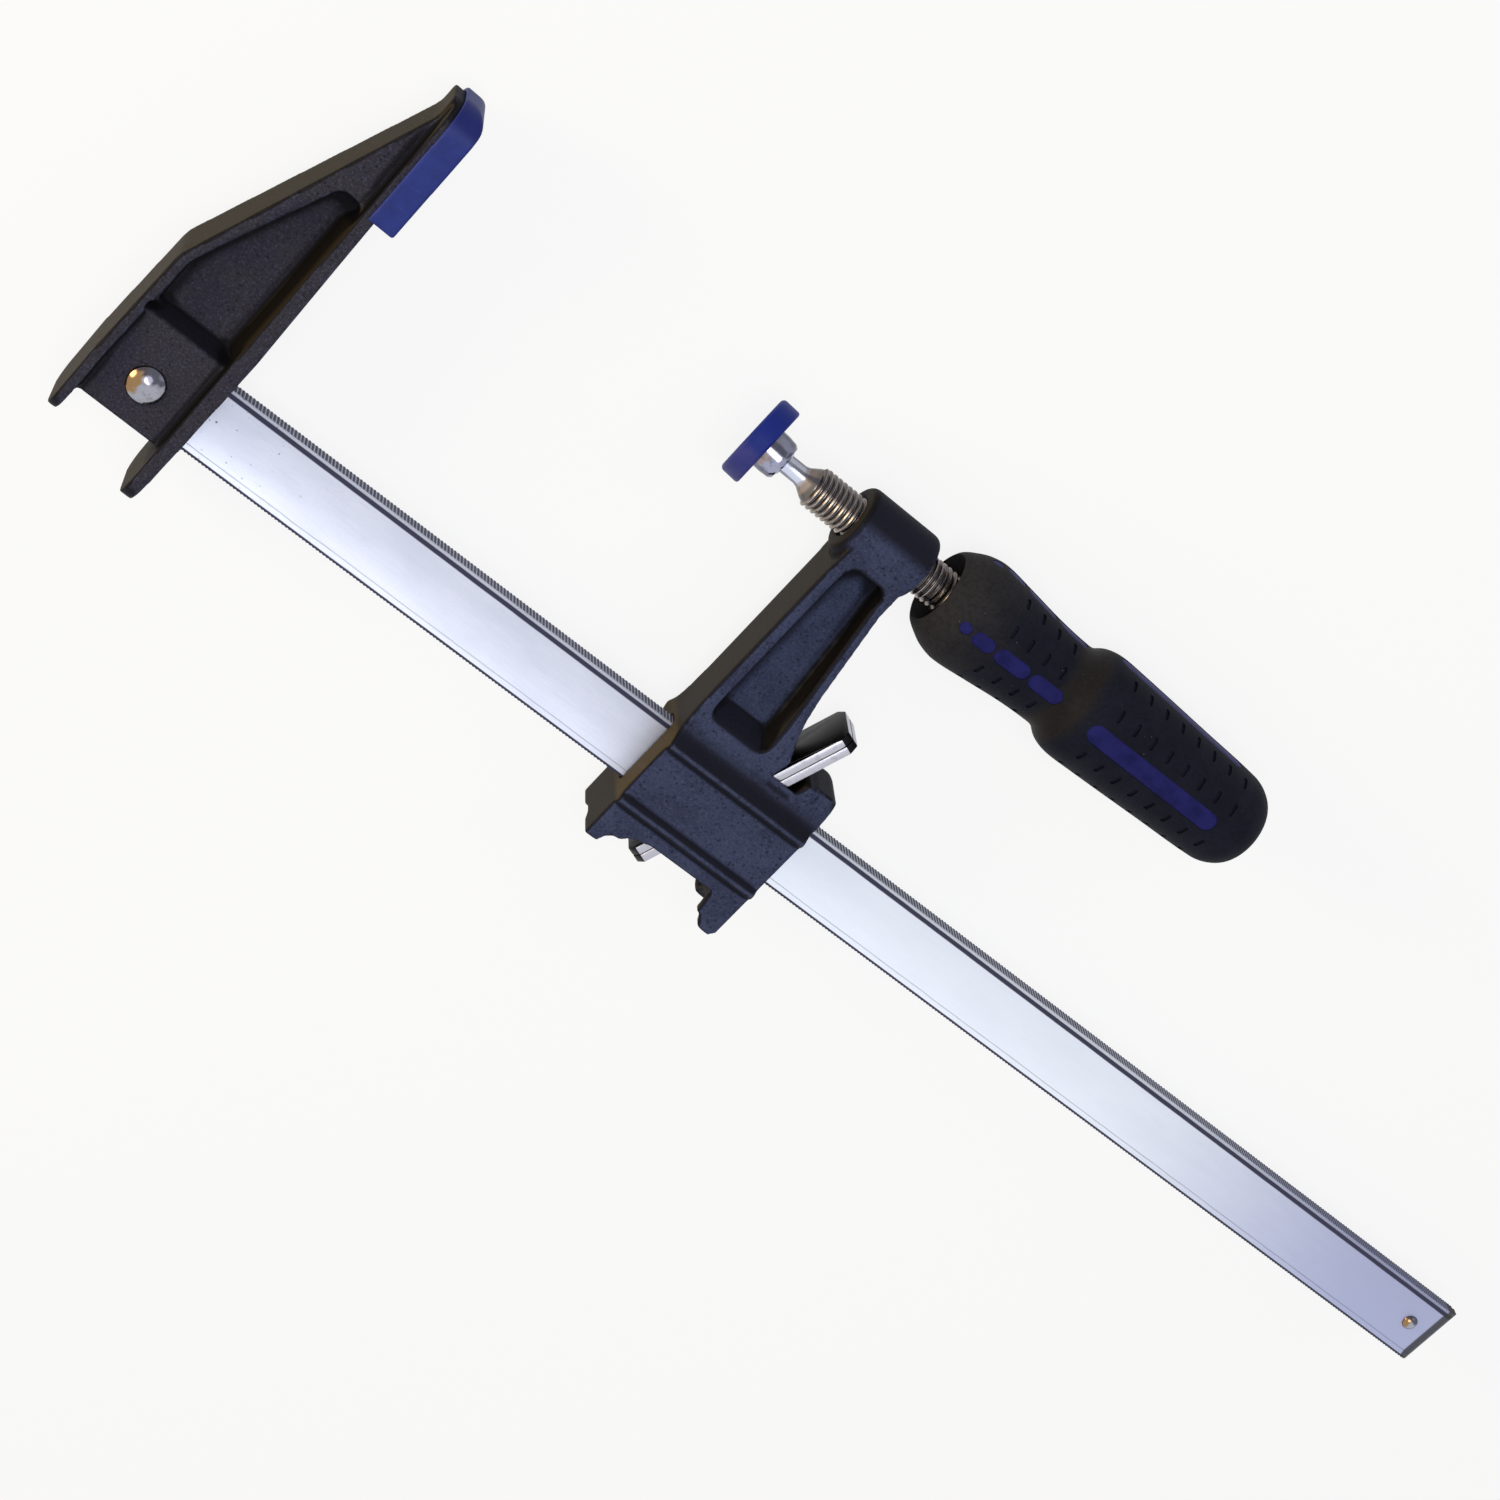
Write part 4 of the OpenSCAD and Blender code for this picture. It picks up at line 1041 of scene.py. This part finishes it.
class Handle:
    """The two-component handle: a hard blue core that shows through a soft grip."""

    x = 199.3
    length = 138.4
    swell = 37.4
    waist = 31
    rear = 39
    rear_end = 33.4
    mouth_rim_r = 12
    mouth_r = 8.2
    mouth_depth = 8
    wall = 3.2
    sink = 0.22
    gap = 0.08
    core_gap = 0.05
    inlay_w = 6.6
    inlay_root = 9
    inlays = (
        (0.053, 0.083, 0.6), (0.091, 0.1535, 0.75), (0.1605, 0.262, 0.8), (0.268, 0.365, 0.8),
        (0.45, 0.856, 1))
    mark_rows = (27, 63)
    mark_runs = ((0.164, 0.323, 4), (0.49, 0.866, 8))
    mark_size = (1.5, 4.6, 3)
    mark_depth = 0.75
    steps = 96

    def at(self, share: float) -> float:
        """The x in mm at a share of the handle's length."""
        return self.x + share * self.length

    def outline(self, inset: float) -> list[Point]:
        """The grip's outline, taken in by an inset, as points of x and radius in mm."""
        rim, swell, waist, rear, end = (
            self.mouth_rim_r, self.swell, self.waist, self.rear, self.rear_end)
        shares = [
            (-0.004, rim - 0.6), (0, rim + 0.5), (0.008, swell * 0.375), (0.03, swell * 0.425),
            (0.06, swell * 0.475), (0.1, swell * 0.5), (0.18, swell * 0.472), (0.28, waist * 0.52),
            (0.36, waist * 0.5), (0.395, waist * 0.51), (0.425, rear * 0.47), (0.46, rear * 0.498),
            (0.52, rear * 0.495), (0.74, (rear + end) * 0.247), (0.91, end * 0.5),
            (0.945, end * 0.46), (0.975, end * 0.37), (0.993, end * 0.22), (1, 0),
            (0.993, -end * 0.22)]
        path = curve_through([(self.at(share), r) for share, r in shares], 5)
        if not inset:
            return path
        moved = []
        for before, here, after in zip(path[:1] + path, path, path[1:] + path[-1:]):
            along = (Vector(after) - Vector(before)).normalized()
            moved.append((here[0] + along.y * inset, max(here[1] - along.x * inset, 0)))
        moved[-1] = (moved[-1][0], 0)
        return moved

    def radius(self, share: float) -> float:
        """The grip's radius in mm at a share of its length."""
        at, path = self.at(share), self.outline(0)
        (x0, r0), (x1, r1) = next(ends for ends in zip(path, path[1:]) if at <= ends[1][0])
        return r0 + (r1 - r0) * (at - x0) / (x1 - x0)

    def solid(self, inset: float) -> BMesh:
        """The grip's outer form as a solid."""
        path = self.outline(inset)
        return lathe([(path[0][0], 0)] + path, self.steps)

    def core_body(self, margin: float) -> BMesh:
        """The core's round body under the grip, grown by a margin."""
        front, step = self.x + self.mouth_depth, self.at(0.44)
        back = self.x + self.length - 2 * self.wall
        slim, wide = (d / 2 - self.wall + margin for d in (self.waist, self.rear))
        return lathe([(front - margin, 0), (front - margin, slim), (step, slim), (step, wide),
                      (back + margin, self.rear_end / 2 - 2 * self.wall + margin),
                      (back + margin, 0)], self.steps)

    def windows(self, margin: float) -> BMesh:
        """Round-ended blocks at the inlays, grown by a margin."""
        bm = bmesh.new()
        bends = [(math.sin(math.radians(a)), math.cos(math.radians(a))) for a in range(0, 181, 15)]
        for start, end, share in self.inlays:
            half = self.inlay_w / 2 * share
            low, high, grown = self.at(start) + half, self.at(end) - half, half + margin
            outline = [(high + grown * s, -grown * c) for s, c in bends]
            outline += [(low - grown * s, grown * c) for s, c in bends]
            for quarter in range(4):
                block = prism(outline, self.inlay_root, self.rear / 2 + 3)
                bm = added(bm, turned(block, 90 * quarter, "X"))
        return bm

    def marks(self) -> BMesh:
        """Thin cutters for the short grooves across the grip."""
        single = bmesh.new()
        bmesh.ops.create_cube(single, size=1)
        bmesh.ops.scale(single, verts=single.verts, vec=[side * MM for side in self.mark_size])
        upright = [e for e in single.edges if abs(e.verts[0].co.z - e.verts[1].co.z) > MM]
        bmesh.ops.bevel(single, geom=upright, offset=self.mark_size[0] * 0.42 * MM, segments=2,
                        affect="EDGES", profile=0.5, material=-1)
        shares = [start + (end - start) * i / (count - 1)
                  for start, end, count in self.mark_runs for i in range(count)]
        bm = bmesh.new()
        for share in shares:
            lift = self.radius(share) - self.mark_depth + self.mark_size[2] / 2
            for row in [a + 90 * q for q in range(4) for a in self.mark_rows]:
                mark = shifted(single.copy(), self.at(share), 0, lift)
                bm = added(bm, turned(mark, row, "X"))
        single.free()
        return bm

    def mouth(self) -> BMesh:
        """The dish at the handle's front."""
        x, rim, floor = self.x, self.mouth_rim_r, self.x + self.mouth_depth
        return lathe([(x - 2, 0), (x - 2, rim + 1.6), (x + 0.6, rim + 0.2),
                      (x + 3.4, rim - 1), (floor, self.mouth_r), (floor, 0)], self.steps)

    def build(self) -> None:
        """Moulds the grip with its windows and grooves, and the core inside it."""
        grip = combined(self.solid(0), Cut.TAKE, self.mouth(), self.core_body(self.core_gap),
                        self.windows(self.gap), self.marks())
        piece(grip, "grip_moulded", RUBBER, "screw", "handle_grip", sharp=32)
        core = combined(self.solid(self.sink), Cut.SHARE, self.windows(0))
        core = combined(core, Cut.JOIN, self.core_body(0))
        piece(core, "core_moulded", CORE_BLUE, "screw", "handle_core", sharp=32)


class SwivelPad:
    """The pad: a blue cap over a steel plate and cup, hung on the spindle's ball."""

    droop = 16.7
    front = 10.2
    thick = 7.1
    radius = 14.2
    wall = 1.6
    cup_r = 7
    rear_r = 5.8
    rear = 3.4
    socket_r = 5.45
    mouth_r = 4.6
    mouth_deg = 44
    edge_r = 1.5
    steps = 72

    def hung(self, profile: Sequence[Point]) -> BMesh:
        """Turns a piece of the pad from its profile, droops it and puts it on the ball."""
        return shifted(turned(lathe(profile, self.steps), -self.droop, "Y"), BALL_X)

    def cap(self) -> list[Point]:
        """The profile of the cap: a dished disc with a rounded rim and a hole for the cup."""
        f, b, r, e = -self.front, -self.front + self.thick, self.radius, self.edge_r
        floor, hole = f + self.wall, self.cup_r + 0.05
        return [(f + 0.35, 0), (f + 0.35, r - 4.2), (f + 0.22, r - 3.6), (f, r - 3.2),
                *arc(f + e, r - e, e, 180, 90, 6),
                *arc(b - e * 0.6, r - e * 0.6, e * 0.6, 90, 0, 4),
                (b, self.cup_r + 0.5), (b - 0.3, hole), (floor + 2, hole), (floor, hole),
                (floor, 0)]

    def cup(self) -> list[Point]:
        """The profile of the steel cup, with its rolled rear edge and its socket."""
        f, r, rear, rear_r = -self.front + self.wall + 0.05, self.cup_r, self.rear, self.rear_r
        waist = curve_through([(-4, r), (-1, r), (0.9, r * 0.97), (2.3, rear_r + 0.8),
                               (rear, rear_r + 0.05), (rear + 0.6, rear_r - 0.5)], 4)
        return [(f, 0), (f, r - 0.3), (f + 0.3, r), (-rear, r), *waist, (rear, rear_r - 0.2),
                (rear, self.mouth_r), *arc(0, 0, self.socket_r, self.mouth_deg, 180, 14)]

    def build(self) -> None:
        """Makes the pad's pieces and dresses the liner."""
        piece(self.hung(self.cap()), "pad_cap_moulded", PAD_BLUE, "pad", "pad_cap", sharp=40)
        piece(self.hung(self.cup()), "swivel_cup_turned", CHROME, "pad", "swivel_cup", sharp=40)
        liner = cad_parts["ball_liner"]
        liner.data.materials.clear()
        liner.data.materials.append(NYLON.make())
        LOG.info("ball_liner: dressed")


class Studio:
    """The floor, the white surroundings, the camera and the lamps.

    Each lamp has a name, a place in metres, watts, the width of its face and a colour.
    """

    floor_z = -20.2
    floor_size = 14
    paper = 0.86
    white = 1
    ambient = 0.32
    shadow_share = 0.15
    middle = (0.22, -0.04, 0)
    lens = 72.645
    sensor = 36
    eye = (-0.13065, 0.22298, 0.85526)
    right = (0.74931973, 0.66041446, 0.0487102)
    above = (-0.57102774, 0.68164235, -0.45748336)
    behind = (-0.33533156, 0.31498643, 0.88788304)
    lamps = (
        ("key", (-0.05, 0.3, 1.5), 9, 0.9, (1, 0.99, 0.98)),
        ("warm_side", (-1.1, -0.25, 0.45), 9, 0.6, (1, 0.82, 0.56)),
        ("fill", (0.9, 1.1, 0.7), 1.5, 0.8, (0.92, 0.95, 1)))

    def seen(self, tree: Tree) -> Signal:
        """A signal that is 1 for camera, glossy and transmission rays."""
        path = tree.add("LightPath")
        return tree.most(*(Signal(tree, path.outputs[f"Is {kind} Ray"])
                           for kind in ("Camera", "Glossy", "Transmission")))

    def surroundings(self) -> None:
        """A world that is white to the eye and lights the object plainly."""
        world = bpy.data.worlds.new("studio")
        bpy.context.scene.world = world
        world.use_nodes = True
        tree = Tree(world.node_tree)
        level = tree.out("MapRange", "Result", {
            "Value": self.seen(tree), "To Min": self.ambient, "To Max": self.white})
        back = tree.out("Background", 0, {"Color": (1, 1, 1, 1), "Strength": level})
        tree.add("OutputWorld", {"Surface": back})

    def floor(self) -> None:
        """A pale floor that keeps a soft shadow."""
        bm = bmesh.new()
        bmesh.ops.create_grid(bm, x_segments=1, y_segments=1, size=self.floor_size / 2)
        made = held(shifted(bm, z=self.floor_z), "studio_floor")
        paper = bpy.data.materials.new("paper_floor")
        paper.use_nodes = True
        tree = Tree(paper.node_tree)
        matt = tree.out("BsdfDiffuse", 0, {"Color": (self.paper, self.paper, self.paper, 1)})
        share = self.seen(tree) * (1 - self.shadow_share)
        mix = tree.out("MixShader", 0, {0: share, 1: matt, 2: tree.out("Emission", 0)})
        tree.add("OutputMaterial", {"Surface": mix})
        made.data.materials.append(paper)

    def hang(self) -> None:
        """Hangs soft lamps that light the object's middle."""
        for name, at, watts, size, tint in self.lamps:
            data = bpy.data.lights.new(name, "AREA")
            data.shape, data.size, data.energy, data.color = "DISK", size, watts, tint
            made = shown(name, data)
            made.location = at
            made.rotation_mode = "QUATERNION"
            made.rotation_quaternion = (Vector(self.middle) - Vector(at)).to_track_quat("-Z", "Y")

    def camera(self) -> None:
        """Sets the camera at the photograph's viewing angle."""
        data = bpy.data.cameras.new("camera")
        data.lens = self.lens
        data.sensor_width = self.sensor
        made = shown("camera", data)
        turn = Matrix((self.right, self.above, self.behind)).transposed().to_4x4()
        made.matrix_world = Matrix.Translation(self.eye) @ turn
        bpy.context.scene.camera = made

    def build(self) -> None:
        """Sets up the studio."""
        bpy.context.scene.view_settings.view_transform = "Standard"
        self.camera()
        self.surroundings()
        self.floor()
        self.hang()


def main() -> None:
    """Builds the sub-assemblies in order, then the studio."""
    for part in (Bar(), FixedJaw(), SlidingJaw(), Clutch(), Spindle(), Handle(), SwivelPad()):
        part.build()
        LOG.info("%s: built", type(part).__name__)
    Studio().build()


if __name__ == "__main__":
    main()
